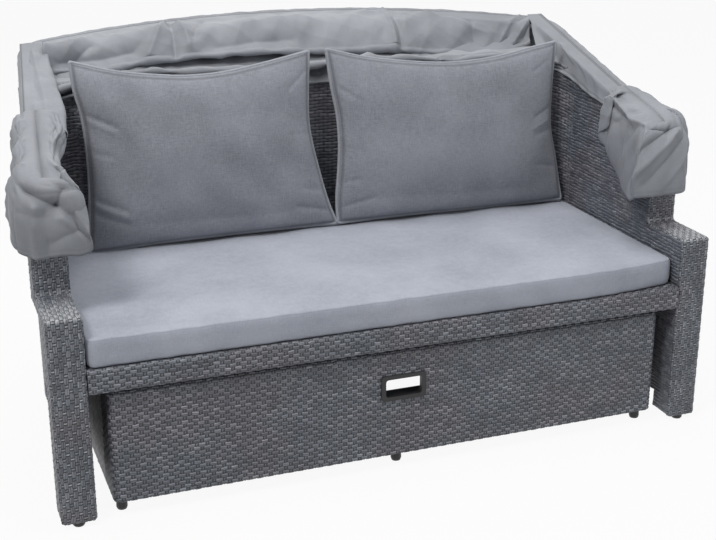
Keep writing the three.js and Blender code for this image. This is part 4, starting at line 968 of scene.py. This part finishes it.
# Places across and up each pillow's plane
LEFT_PILLOW = (
    [(-0.580, -0.004), (-0.45, 0.003), (-0.2, 0.006), (0.030, 0.004)],
    [(0.030, 0.004), (0.012, 0.050), (-0.012, 0.138), (-0.034, 0.261), (-0.032, 0.344), (-0.026, 0.428)],
    [(-0.588, 0.438), (-0.488, 0.410), (-0.393, 0.395), (-0.330, 0.389), (-0.240, 0.391), (-0.146, 0.405),
     (-0.026, 0.428)],
    [(-0.580, -0.004), (-0.572, 0.073), (-0.566, 0.162), (-0.566, 0.251), (-0.571, 0.317), (-0.584, 0.382),
     (-0.588, 0.438)],
)
RIGHT_PILLOW = (
    [(0.033, 0.004), (0.2, 0.006), (0.45, 0.003), (0.656, 0.003)],
    [(0.656, 0.003), (0.648, 0.045), (0.637, 0.114), (0.622, 0.195), (0.623, 0.274), (0.629, 0.347),
     (0.637, 0.412)],
    [(0.018, 0.430), (0.098, 0.409), (0.222, 0.388), (0.350, 0.377), (0.456, 0.382), (0.563, 0.400),
     (0.637, 0.412)],
    [(0.033, 0.004), (0.032, 0.063), (0.039, 0.129), (0.044, 0.204), (0.041, 0.270), (0.029, 0.340),
     (0.018, 0.430)],
)
# Folds in each pillow's face, placed from its middle: two places, width, height
LEFT_WRINKLES = [
    (-0.31, 0.10, -0.23, 0.080, 0.006, -0.005), (-0.31, 0.085, -0.24, 0.068, 0.006, 0.003),
    (-0.31, 0.018, -0.25, 0.010, 0.006, -0.003), (-0.31, -0.085, -0.225, -0.115, 0.007, -0.005),
    (-0.31, -0.115, -0.22, -0.150, 0.007, -0.005), (-0.30, -0.10, -0.22, -0.133, 0.007, 0.003),
    (0.31, 0.02, 0.26, 0.03, 0.006, -0.002), (0.30, 0.17, 0.25, 0.14, 0.006, -0.003),
    (0.31, -0.12, 0.25, -0.105, 0.007, -0.003), (0.30, -0.17, 0.22, -0.15, 0.008, -0.005),
    (0.0, 0.21, 0.01, 0.175, 0.006, -0.002), (-0.1, 0.21, -0.09, 0.17, 0.006, -0.002),
]
RIGHT_WRINKLES = [
    (-0.31, 0.13, -0.25, 0.10, 0.006, -0.003), (-0.31, -0.02, -0.26, -0.03, 0.006, -0.002),
    (-0.30, -0.17, -0.22, -0.15, 0.008, -0.005), (-0.31, -0.11, -0.26, -0.10, 0.006, -0.003),
    (0.31, 0.05, 0.25, 0.03, 0.007, -0.004), (0.31, 0.02, 0.24, 0.0, 0.007, 0.003),
    (0.31, -0.01, 0.25, -0.02, 0.006, -0.003), (0.31, -0.12, 0.24, -0.10, 0.007, -0.003),
    (0.28, 0.17, 0.24, 0.15, 0.007, -0.002),
]
BODY_FOLDS = [(-0.18, -0.02, 0.12, 0.05, 0.09, 0.004), (-0.05, 0.12, 0.16, 0.10, 0.05, -0.003),
              (-0.2, -0.15, 0.2, -0.16, 0.03, -0.004)]


# Canopy
CLOTH = 0.0014  # thickness of the cloth
OVER_HOOPS = 0.012  # the cloth's height over the plane of the hoops that it covers


def on_hoops(x, along, above):
    """Row-frame points of places on the hoops' sloping plane: across, along the slope, and square to it."""
    x, along, above = np.broadcast_arrays(x, along, above)
    y = FRONT + PIVOT_Y + along * math.cos(HOOP_TILT) - above * math.sin(HOOP_TILT)
    z = PIVOT_Z + along * math.sin(HOOP_TILT) + above * math.cos(HOOP_TILT)
    return np.stack([x, y, z], -1)


def hoop_line(inset, start, count):
    """A hoop's centre line from one side's start, round both bends, to the other side: places (x, along)."""
    reach = (HOOP_LINE - PIVOT_Y) / math.cos(HOOP_TILT)

    def cross(x):
        return reach - HOOP_ARCH + math.sqrt((HOOP_ARCH - inset) ** 2 - x * x)

    def half_line(sign):
        base = sign * (HOOP_HALF - inset)
        corner_x = base + (HOOP_LEAN if sign < 0 else 0)
        corner = np.array([corner_x, cross(corner_x)])

        def side_x(along):
            return base + (corner_x - base) * along / corner[1]

        side_end = np.array([side_x(corner[1] - HOOP_BEND), corner[1] - HOOP_BEND])
        arch_x = corner_x - sign * HOOP_BEND
        arch_start = np.array([arch_x, cross(arch_x)])
        t = np.linspace(0, 1, 12)[:, None]
        bend = (1 - t) ** 2 * side_end + 2 * t * (1 - t) * corner + t * t * arch_start
        return np.concatenate([[[side_x(start), start]], bend])

    left, right = half_line(-1), half_line(1)
    xs = np.linspace(left[-1][0], right[-1][0], 60)[1:-1]
    arch = np.array([(x, cross(x)) for x in xs])
    return spline_at(np.concatenate([left, arch, right[::-1]]), np.linspace(0, 1, count))


def over_hoops(points):
    """Cloth points raised clear of the folded hoops, in full up to 55 mm from the front one's line."""
    line = hoop_line(0, HOOP_START, 260)
    run = (points[..., 1] - FRONT - PIVOT_Y) / math.cos(HOOP_TILT)
    above = (points[..., 2] - PIVOT_Z) * math.cos(HOOP_TILT) - run * math.sin(HOOP_TILT) * math.cos(HOOP_TILT)
    distance = np.full(run.shape, 9.0)
    for x, along in line:
        distance = np.minimum(distance, np.hypot(points[..., 0] - x, run - along))
    lifted = points.copy()
    lifted[..., 2] += np.maximum(OVER_HOOPS - above, 0) * (1 - smoothstep(0.055, 0.066, distance))
    return lifted


def make_pocket():
    """The sewn sleeve on the front hoop: a slightly wrinkled tube with a tongue on its inner side.

    Round the hoop its radius is the sleeve's own, plus a bell of the tongue's height at the inner side, and a
    ripple.
    """
    count, sleeve, tongue_height = 420, 0.0112, 0.006
    line = hoop_line(0, HOOP_START, count)
    ahead = np.gradient(line, axis=0)
    ahead /= np.linalg.norm(ahead, axis=1, keepdims=True)
    inward = np.stack([ahead[:, 1], -ahead[:, 0]], -1)
    turn = np.linspace(0, TAU, 25)
    tongue = tongue_height * stitch(np.abs(turn - math.pi), math.pi, 0.3)
    length = np.arange(count) * 0.0052
    wrinkle = ripple(*np.meshgrid(length, turn * 0.01, indexing="ij"), 61, 0.035, 0.0006)
    radius = sleeve + tongue[None] + wrinkle
    place = line[:, None] + inward[:, None] * (radius * np.cos(turn))[..., None]
    points = on_hoops(place[..., 0], place[..., 1], radius * np.sin(turn))
    pocket = shell("canopy_pocket", points, flip=True)
    dress([pocket], "hoop_front", "canopy_pocket")
    flat_size(points)


def resting(points, height):
    """Points raised to lie on the top of the back at a height, and on a slope that falls away behind it."""
    depth = points[..., 1] - FRONT
    floor = height - 0.8 * np.maximum(depth - DEPTH - 0.009, 0)
    raised = points.copy()
    raised[..., 2] = np.where(depth > BACK_FRONT, np.maximum(points[..., 2], floor), points[..., 2])
    return raised


def gore(name, node, outer, inner, rows, roll, creases, seed, wave, by_x=False, sag=0.0, over=None,
         blend=None, body=None, stitched=False):
    """A panel of cloth from an outer to an inner line of points, which then turns under in a soft roll.

    It sags between its lines by sag sin(pi t^1.6), t being its share from the outer to the inner line, and
    where a height is given as over, it rests at that height on the back's top. The roll is a half circle,
    with a short hem below it. The creases' first places run along the lines, or are x in the row frame where
    by_x is set. wave is the length and height of its slight unevenness.
    """
    t = np.linspace(0, 1, rows)[:, None, None]
    panel = outer[None] * (1 - t) + inner[None] * t
    panel[..., 2] -= (sag * np.sin(np.pi * t**1.6))[..., 0]
    if over:
        panel = resting(panel, over)
    back = outer - inner
    back[:, 2] = 0
    back /= np.linalg.norm(back, axis=1, keepdims=True) + 1e-9
    turn = np.linspace(0, math.pi, 9)[1:, None, None]
    down = np.array([0.0, 0.0, -1.0])
    bend = inner[None] - back[None] * roll * np.sin(turn) + down * roll * (1 - np.cos(turn))
    hem = bend[-1][None] + back[None] * np.linspace(0, 0.03, 4)[1:, None, None]
    points = np.concatenate([panel, bend, hem])
    column = np.concatenate([[0], np.cumsum(np.linalg.norm(np.diff(outer + inner, axis=0), axis=1) / 2)])
    row = np.concatenate([[0], np.cumsum(np.linalg.norm(np.diff(points.mean(1), axis=0), axis=1))])
    a, b = np.meshgrid(column, row)
    lift = crease_height(points[..., 0] if by_x else a, b, creases, 1.15)
    lift += ripple(a, b, seed, *wave) + crumple(a, b, seed + 40, 0.06, wave[1] * 2.4)
    fade = smoothstep(0.0, 0.03, b)
    points = points - surface_normals(points) * (lift * fade)[..., None]
    if node == "canopy_gore_front":
        points = over_hoops(points)
    # painted shade along the stitched line by the outer edge
    seam = stitch(b, 0.004, 0.0018) if stitched else None
    piece = shell(name, points, seam, flip=True)
    dress([piece], body, node)
    if blend:
        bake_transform(piece)
    flat_size(points)


def hoop_stretch(inset, share0, share1, count, above):
    """Points along a stretch of a hoop line, between shares of its length, lifted off the hoops' plane."""
    line = spline_at(hoop_line(inset, HOOP_START, 500), np.linspace(share0, share1, count))
    return on_hoops(line[:, 0], line[:, 1], above)


# Folds as two places (x, distance from the outer line), width and height
FRONT_FOLDS = [
    (-0.309, 0.034, -0.370, 0.146, 0.014, 0.012), (-0.297, 0.045, -0.306, 0.157, 0.012, -0.012),
    (-0.274, 0.034, -0.268, 0.134, 0.013, 0.011), (-0.251, 0.112, -0.212, 0.034, 0.012, -0.009),
    (0.280, 0.017, 0.270, 0.157, 0.013, 0.014), (0.301, 0.022, 0.290, 0.157, 0.012, -0.014),
    (0.162, 0.056, 0.278, 0.022, 0.030, 0.006), (0.394, 0.022, 0.539, 0.112, 0.025, 0.007),
    (0.507, 0.022, 0.500, 0.157, 0.018, -0.010), (0.648, 0.034, 0.559, 0.157, 0.013, 0.008),
    (0.670, 0.034, 0.580, 0.157, 0.011, -0.008), (0.710, 0.034, 0.612, 0.146, 0.013, 0.008),
    (0.736, 0.045, 0.639, 0.146, 0.011, -0.008), (-0.579, 0.146, -0.410, 0.134, 0.018, -0.010),
    (-0.506, 0.101, -0.558, 0.157, 0.012, -0.008), (-0.122, 0.090, 0.047, 0.056, 0.030, 0.006),
    (-0.201, 0.146, -0.003, 0.134, 0.016, -0.009),
]
# Lines that the gores turn under at, as x, distance behind FRONT and z
FRONT_FOLD_LINE = [
    (-0.628, 0.720, 0.806), (-0.576, 0.745, 0.804), (-0.447, 0.745, 0.804), (-0.401, 0.745, 0.810),
    (-0.284, 0.745, 0.816), (-0.186, 0.745, 0.819), (-0.071, 0.745, 0.820), (0.031, 0.745, 0.813),
    (0.136, 0.745, 0.808), (0.258, 0.745, 0.805), (0.315, 0.745, 0.797), (0.429, 0.745, 0.784),
    (0.512, 0.745, 0.777), (0.606, 0.745, 0.782), (0.655, 0.735, 0.800),
]
MIDDLE_FOLD_LINE = [
    (-0.650, 0.585, 0.770), (-0.600, 0.610, 0.786), (-0.500, 0.620, 0.802), (-0.396, 0.618, 0.811),
    (-0.313, 0.618, 0.804), (-0.150, 0.619, 0.799), (0.020, 0.620, 0.800), (0.100, 0.618, 0.806),
    (0.200, 0.618, 0.804), (0.300, 0.618, 0.796), (0.380, 0.619, 0.786), (0.430, 0.618, 0.790),
    (0.560, 0.622, 0.790), (0.620, 0.640, 0.790),
]
MIDDLE_FOLDS = [
    (0.10, 0.20, 0.16, 0.30, 0.02, 0.008), (0.30, 0.2, 0.36, 0.31, 0.02, -0.008),
    (-0.35, 0.20, -0.20, 0.30, 0.02, 0.006),
]
REAR_FOLD_LINE = [
    (-0.655, 0.582, 0.752), (-0.600, 0.610, 0.762), (-0.500, 0.624, 0.766), (-0.300, 0.626, 0.764),
    (0.010, 0.624, 0.752), (0.300, 0.626, 0.752), (0.600, 0.650, 0.756),
]


def from_front(points):
    """Points whose y was measured from the arms' front plane, in the row frame."""
    return np.array(points) + [0, FRONT, 0]


def make_back_panels():
    """Three gores lie one over the other along the back, each from its hoop in to a soft fold."""
    count = 360
    gore("canopy_gore_front", "canopy_gore_front", hoop_stretch(0.009, 0.230, 0.778, count, 0.0125),
         spline(from_front(FRONT_FOLD_LINE), count), rows=80, roll=0.008, creases=FRONT_FOLDS, seed=71,
         wave=(0.09, 0.0026), by_x=True, sag=-0.030, stitched=True,
         blend=("hoop_mid", "hoop_front", (0, FRONT + 0.74, 0.82), (0, FRONT + 0.88, 0.86)))
    start, end = (0, FRONT + 0.66, 0.8), (0, FRONT + 0.80, 0.84)
    count = 240
    gore("canopy_gore_mid", "canopy_gore_mid", hoop_stretch(HOOP_STEP, 0.222, 0.778, count, -0.011),
         spline(from_front(MIDDLE_FOLD_LINE), count), rows=60, roll=0.007, creases=MIDDLE_FOLDS, seed=72,
         wave=(0.09, 0.0022), by_x=True, sag=0.050, over=BACK_TOP + 0.011,
         blend=("hoop_rear", "hoop_mid", start, end))
    gore("canopy_gore_rear", "canopy_gore_rear", hoop_stretch(2 * HOOP_STEP, 0.228, 0.772, count, -0.016),
         spline(from_front(REAR_FOLD_LINE), count), rows=60, roll=0.003, creases=[], seed=73,
         wave=(0.09, 0.0012), sag=0.045, over=BACK_TOP + 0.006,
         blend=("sofa", "hoop_rear", start, end))


def make_side_panels():
    """Along each wing the front gore lies over the folded hoops and hangs inside the wing."""
    count = 110
    left_outer = on_hoops(np.linspace(-0.722, -0.668, count), np.linspace(0.20, 0.635, count), OVER_HOOPS)
    left_fold = spline([(-0.640, 0.20), (-0.626, 0.30), (-0.623, 0.45), (-0.622, 0.640)], count)
    left_inner = on_hoops(*left_fold.T, 0.010)
    gore("canopy_gore_front_left", "canopy_gore_front", left_outer[::-1], left_inner[::-1],
         rows=34, roll=0.010,
         creases=[(0.0, 0.02, 0.30, 0.03, 0.008, 0.004), (0.05, 0.04, 0.42, 0.045, 0.006, -0.004),
                  (0.10, 0.030, 0.42, 0.020, 0.006, -0.003)],
         seed=74, wave=(0.07, 0.0016), sag=-0.004, stitched=True,
         blend=("hoop_mid", "hoop_front", (-0.632, FRONT + 0.5, 0.77), (-0.676, FRONT + 0.5, 0.77)))
    right_outer = on_hoops(0.724, np.linspace(0.14, 0.640, count), 0.010)
    hem = spline(from_front([(0.666, 0.320, 0.693), (0.666, 0.440, 0.709), (0.665, 0.540, 0.733),
                             (0.650, 0.588, 0.745), (0.624, 0.607, 0.753)]), count)
    top = on_hoops(0.682, np.linspace(0.14, 0.640, count), OVER_HOOPS)
    right_strip(right_outer, top, hem, count)
    left_top = on_hoops(-0.650, np.linspace(0.30, 0.62, count), 0.002)
    left_low = spline(from_front([(-0.655, 0.47, 0.725), (-0.655, 0.56, 0.735), (-0.640, 0.66, 0.760),
                                  (-0.60, 0.70, 0.79)]), count)
    gore("canopy_gore_mid_left", "canopy_gore_mid", left_top[::-1], left_low[::-1], rows=30, roll=0.004,
         creases=[(0.02, 0.0, 0.14, 0.05, 0.010, 0.010), (0.06, 0.0, 0.18, 0.05, 0.008, -0.010),
                  (0.16, 0.0, 0.26, 0.05, 0.010, 0.008)],
         seed=75, wave=(0.05, 0.003), body="hoop_rear")


def right_strip(outer, top, hem, count):
    """The right wing's strip: from the seam over the wing's top edge, then down to its hem inside it."""
    t = np.linspace(0, 1, 20)[:, None, None]
    over = outer[None] * (1 - t) + top[None] * t
    down = top[None] * (1 - t[1:]) + hem[None] * t[1:]
    points = resting(np.concatenate([over, down]), BACK_TOP + 0.012)
    long, wide = 0.50, 0.09
    a, b = np.meshgrid(np.linspace(0, long, count), np.linspace(0, wide, len(points)))
    creases = [(0.05, 0.06, 0.30, 0.05, 0.012, 0.003), (0.2, 0.075, 0.44, 0.07, 0.010, -0.003)]
    lift = crease_height(a, b, creases)
    lift += ripple(a, b, 76, 0.09, 0.0012) + crumple(a, b, 79, 0.09, 0.0012)
    points = over_hoops(points + surface_normals(points) * lift[..., None])
    # painted shade along two seams by the outer edge and, half as dark, one near the hem
    seam = np.maximum(stitch(b, 0.004, 0.0018), stitch(b, 0.010, 0.0012))
    seam = np.maximum(seam, 0.5 * stitch(b, 0.083, 0.0012))
    piece = shell("canopy_gore_front_right", points, seam)
    dress([piece], None, "canopy_gore_front")
    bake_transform(piece)
    flat_size(points)


def make_curtains():
    """Slack cloth hangs in loops under the folded hoops.

    Each loop starts under one hoop and reaches half way to the next: its depth below the hoops' plane falls
    evenly, so the part that follows the hoop in front grades into the part that follows the one behind it.
    At a share t of the way down, its depth is 12 mm + drop t (1 + 0.1 t sin(21 length)), and it leans to and
    fro along the slope by 4 mm t.
    """
    count, under = 420, 0.012
    for name, pair, inset, drop in (("canopy_gore_front_loop", ("hoop_mid", "hoop_front"), 0.0, 0.075),
                                    ("canopy_gore_mid_loop", ("hoop_rear", "hoop_mid"), HOOP_STEP, 0.060)):
        near = hoop_line(inset + 0.004, 0.14, count)
        far = hoop_line(inset + HOOP_STEP - 0.004, 0.14, count)
        t = np.linspace(0, 1, 26)[:, None]
        length = np.linspace(0, 2.2, count)[None]
        depth = -under - drop * t * (1 + 0.10 * np.sin(length * 21) * t)
        place = near[None] * (1 - t[..., None] * 0.5) + far[None] * t[..., None] * 0.5
        away = 0.004 * np.sin(length * 38 + 2 * np.sin(length * 5)) * t
        points = on_hoops(place[..., 0], place[..., 1] + away, depth)
        piece = shell(name, points)
        dress([piece], None, name.removesuffix("_loop"))
        high, low = on_hoops(0.0, 0.7, -0.014), on_hoops(0.0, 0.7, -under - drop)
        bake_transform(piece)
        flat_size(points)


def pouch(name, hem, ridge, creases, seed, side):
    """A cloth pouch over a wing's front: from its hem line up and over to its ridge line.

    The hem runs round the wing, so the ridge is followed to its front end and back again. At a height angle f
    from 0 at the hem to 90 degrees at the ridge, a point lies cos(f)^0.42 of the way out from the ridge in
    plan and 1 - sin(f)^0.85 of the way down to the hem.
    """
    columns, rows = 190, 64
    low = spline(from_front(hem), columns)
    line = spline(from_front(ridge), 60)
    c = np.linspace(0, 1, columns)
    turn, turned = 0.46, 0.56
    share = np.where(c < turn, c / turn, np.where(c > turned, (1 - c) / (1 - turned), 1.0))
    high = spline_at(line, np.clip(share, 0, 1) ** 1.15)
    f = np.linspace(0, math.pi / 2, rows)[:, None]
    out, down = np.cos(f) ** 0.42, 1 - np.sin(f) ** 0.85
    points = np.empty((rows, columns, 3))
    points[..., :2] = high[None, :, :2] + (low - high)[None, :, :2] * out[..., None]
    points[..., 2] = high[None, :, 2] + (low - high)[None, :, 2] * down
    a, b = np.broadcast_arrays(c[None] * 0.75, f * 0.16 / (math.pi / 2))
    lift = crease_height(a, b, creases, 1.0) + ripple(a, b, seed, 0.07, 0.0010)
    lift += crumple(a, b, seed + 40, 0.055, 0.0110)
    normal = surface_normals(points) * side
    fade = smoothstep(math.pi / 2, 1.25, f)
    points = points + normal * (lift * fade)[..., None]
    # painted shade along a line just above the hem
    seam = np.broadcast_to(0.35 * stitch(f * 0.1, 0.004, 0.0012), a.shape)
    piece = shell(name, points, seam, flip=side < 0)
    dress([piece], "sofa", name)
    flat_size(points)


# Hems and ridges as x, distance behind FRONT and z; creases as two places along the hem and up from it,
# width and height
LEFT_HEM = [
    (-0.628, 0.445, 0.730), (-0.628, 0.390, 0.712), (-0.652, 0.315, 0.694), (-0.666, 0.235, 0.680),
    (-0.669, 0.190, 0.655), (-0.666, 0.150, 0.640), (-0.655, 0.128, 0.600), (-0.632, 0.120, 0.552),
    (-0.650, 0.115, 0.542), (-0.690, 0.112, 0.546), (-0.735, 0.116, 0.543), (-0.783, 0.135, 0.558),
    (-0.783, 0.185, 0.592), (-0.764, 0.250, 0.625), (-0.752, 0.330, 0.655), (-0.744, 0.400, 0.690),
    (-0.738, 0.445, 0.728),
]
LEFT_RIDGE = [(-0.684, 0.450, 0.768), (-0.692, 0.38, 0.748), (-0.700, 0.30, 0.725), (-0.708, 0.22, 0.708),
              (-0.712, 0.165, 0.694)]
LEFT_CREASES = [
    (0.315, 0.008, 0.385, 0.072, 0.010, 0.013), (0.335, 0.006, 0.378, 0.050, 0.008, -0.010),
    (0.385, 0.072, 0.362, 0.115, 0.009, 0.010), (0.385, 0.072, 0.455, 0.112, 0.010, 0.012),
    (0.425, 0.070, 0.424, 0.000, 0.008, -0.014), (0.407, 0.060, 0.404, 0.000, 0.008, 0.007),
    (0.352, 0.030, 0.400, 0.014, 0.006, 0.005), (0.462, 0.000, 0.470, 0.080, 0.016, 0.010),
    (0.260, 0.060, 0.300, 0.130, 0.010, 0.009), (0.235, 0.050, 0.270, 0.130, 0.010, -0.010),
    (0.120, 0.060, 0.215, 0.110, 0.012, 0.010), (0.090, 0.080, 0.160, 0.120, 0.010, -0.009),
    (0.040, 0.140, 0.110, 0.070, 0.010, 0.007), (0.500, 0.140, 0.520, 0.010, 0.012, -0.010),
    (0.550, 0.140, 0.560, 0.010, 0.014, 0.009), (0.610, 0.140, 0.600, 0.010, 0.012, -0.009),
    (0.660, 0.140, 0.660, 0.010, 0.014, 0.008), (0.700, 0.140, 0.705, 0.010, 0.010, -0.007),
]
RIGHT_HEM = [
    (0.668, 0.345, 0.712), (0.662, 0.322, 0.688), (0.656, 0.312, 0.655), (0.650, 0.350, 0.625),
    (0.652, 0.318, 0.600), (0.655, 0.290, 0.566), (0.652, 0.236, 0.513), (0.632, 0.160, 0.510),
    (0.615, 0.125, 0.526), (0.655, 0.115, 0.528), (0.715, 0.112, 0.531), (0.752, 0.118, 0.534),
    (0.768, 0.140, 0.560), (0.774, 0.165, 0.625), (0.772, 0.215, 0.672), (0.764, 0.275, 0.694),
    (0.752, 0.345, 0.716),
]
RIGHT_RIDGE = [(0.714, 0.348, 0.742), (0.716, 0.28, 0.722), (0.715, 0.21, 0.706), (0.712, 0.165, 0.694)]
RIGHT_CREASES = [
    (0.110, 0.118, 0.240, 0.106, 0.008, -0.014), (0.100, 0.098, 0.250, 0.088, 0.010, 0.010),
    (0.250, 0.106, 0.330, 0.128, 0.010, -0.008), (0.430, 0.120, 0.290, 0.020, 0.010, 0.010),
    (0.455, 0.105, 0.330, 0.012, 0.009, -0.009), (0.480, 0.090, 0.375, 0.012, 0.010, 0.009),
    (0.500, 0.070, 0.425, 0.012, 0.008, -0.007), (0.350, 0.135, 0.470, 0.112, 0.010, 0.008),
    (0.170, 0.080, 0.165, 0.020, 0.016, -0.007), (0.215, 0.080, 0.220, 0.010, 0.012, 0.008),
    (0.560, 0.140, 0.560, 0.020, 0.012, -0.007), (0.630, 0.140, 0.640, 0.020, 0.014, 0.007),
]


make_arm("arm_weave_left", -1)
make_arm("arm_weave_right", 1)
make_back()
make_apron()
make_footstool()
make_seat_cushion()
make_pillow("pillow_left", LEFT_PILLOW, LEFT_WRINKLES, 51)
make_pillow("pillow_right", RIGHT_PILLOW, RIGHT_WRINKLES, 52)
make_pocket()
make_back_panels()
make_side_panels()
make_curtains()
pouch("canopy_bag_left", LEFT_HEM, LEFT_RIDGE, LEFT_CREASES, 81, 1)
pouch("canopy_bag_right", RIGHT_HEM, RIGHT_RIDGE, RIGHT_CREASES, 82, -1)


# Studio
def white_to_camera(tree, output, plain, emitter, share):
    """Mixes a white emitter of strength 1 over a shader for a share of what is seen directly or mirrored."""
    path = tree.nodes.new("ShaderNodeLightPath")
    seen = path.outputs["Is Camera Ray"]
    for other in ("Is Glossy Ray", "Is Transmission Ray"):
        either = tree.nodes.new("ShaderNodeMath")
        either.operation = "MAXIMUM"
        tree.links.new(seen, either.inputs[0])
        tree.links.new(path.outputs[other], either.inputs[1])
        seen = either.outputs[0]
    part = tree.nodes.new("ShaderNodeMath")
    part.operation = "MULTIPLY"
    part.inputs[1].default_value = share
    tree.links.new(seen, part.inputs[0])
    white = tree.nodes.new(emitter)
    white.inputs[0].default_value = (1, 1, 1, 1)
    mix = tree.nodes.new("ShaderNodeMixShader")
    tree.links.new(part.outputs[0], mix.inputs[0])
    tree.links.new(plain.outputs[0], mix.inputs[1])
    tree.links.new(white.outputs[0], mix.inputs[2])
    tree.links.new(mix.outputs[0], output.inputs[0])


def make_stage():
    """A white floor and a white world, with a broad overhead light, a key, a fill and a rim light."""
    p = Paint("floor_paper")
    p.finish((0.60, 0.60, 0.60), 0.9)
    white_to_camera(p.tree, p.tree.nodes["Material Output"], p.shader, "ShaderNodeEmission", 0.93)
    floor = mesh_object(
        "floor", np.array([[-14, -14, 0], [14, -14, 0], [14, 14, 0], [-14, 14, 0]], float) - [0, 0, 0.0005],
        np.array([[0, 1, 2, 3]]), p.material, smooth=False)
    world = bpy.data.worlds.new("studio")
    bpy.context.scene.world = world
    world.use_nodes = True
    shade = world.node_tree.nodes["Background"]
    shade.inputs[0].default_value = (0.97, 0.985, 1.0, 1)
    shade.inputs[1].default_value = 0.30
    output = world.node_tree.nodes["World Output"]
    white_to_camera(world.node_tree, output, shade, "ShaderNodeBackground", 1.0)
    for name, place, target, size, power, colour in (
        ("top", (0.1, -0.25, 4.4), (0.1, -0.2, 0.4), 2.6, 88, (1.0, 0.995, 0.985)),
        ("key", (-2.3, -1.9, 3.9), (0, 0, 0.4), 1.0, 95, (1.0, 0.985, 0.96)),
        ("fill", (2.6, -3.0, 2.2), (0, 0, 0.4), 2.6, 22, (0.94, 0.97, 1.0)),
        ("rim", (0.5, 3.0, 3.2), (0, 0, 0.6), 2.4, 35, (0.98, 0.99, 1.0)),
    ):
        light = bpy.data.lights.new(name, "AREA")
        light.size, light.energy, light.color = size, power, colour
        lamp = bpy.data.objects.new(name, light)
        lamp.location = place
        aim = np.array(target, float) - place
        lamp.rotation_euler = (math.pi / 2 + math.asin(aim[2] / np.linalg.norm(aim)), 0,
                               math.atan2(aim[1], aim[0]) - math.pi / 2)
        bpy.context.scene.collection.objects.link(lamp)


def make_camera():
    """The photograph's view: 20.6 degrees round to the left of the front, looking 19.4 degrees down."""
    down, round_left = 0.3388, 0.3592
    data = bpy.data.cameras.new("camera")
    data.lens = 65.13
    data.sensor_width = 36
    camera = bpy.data.objects.new("camera", data)
    camera.location = (-0.997, FRONT - 2.357, 1.370)
    camera.rotation_euler = (math.pi / 2 - down, 0, -round_left)
    bpy.context.scene.collection.objects.link(camera)
    bpy.context.scene.camera = camera


make_stage()
make_camera()
bpy.context.scene.view_settings.view_transform = "Standard"
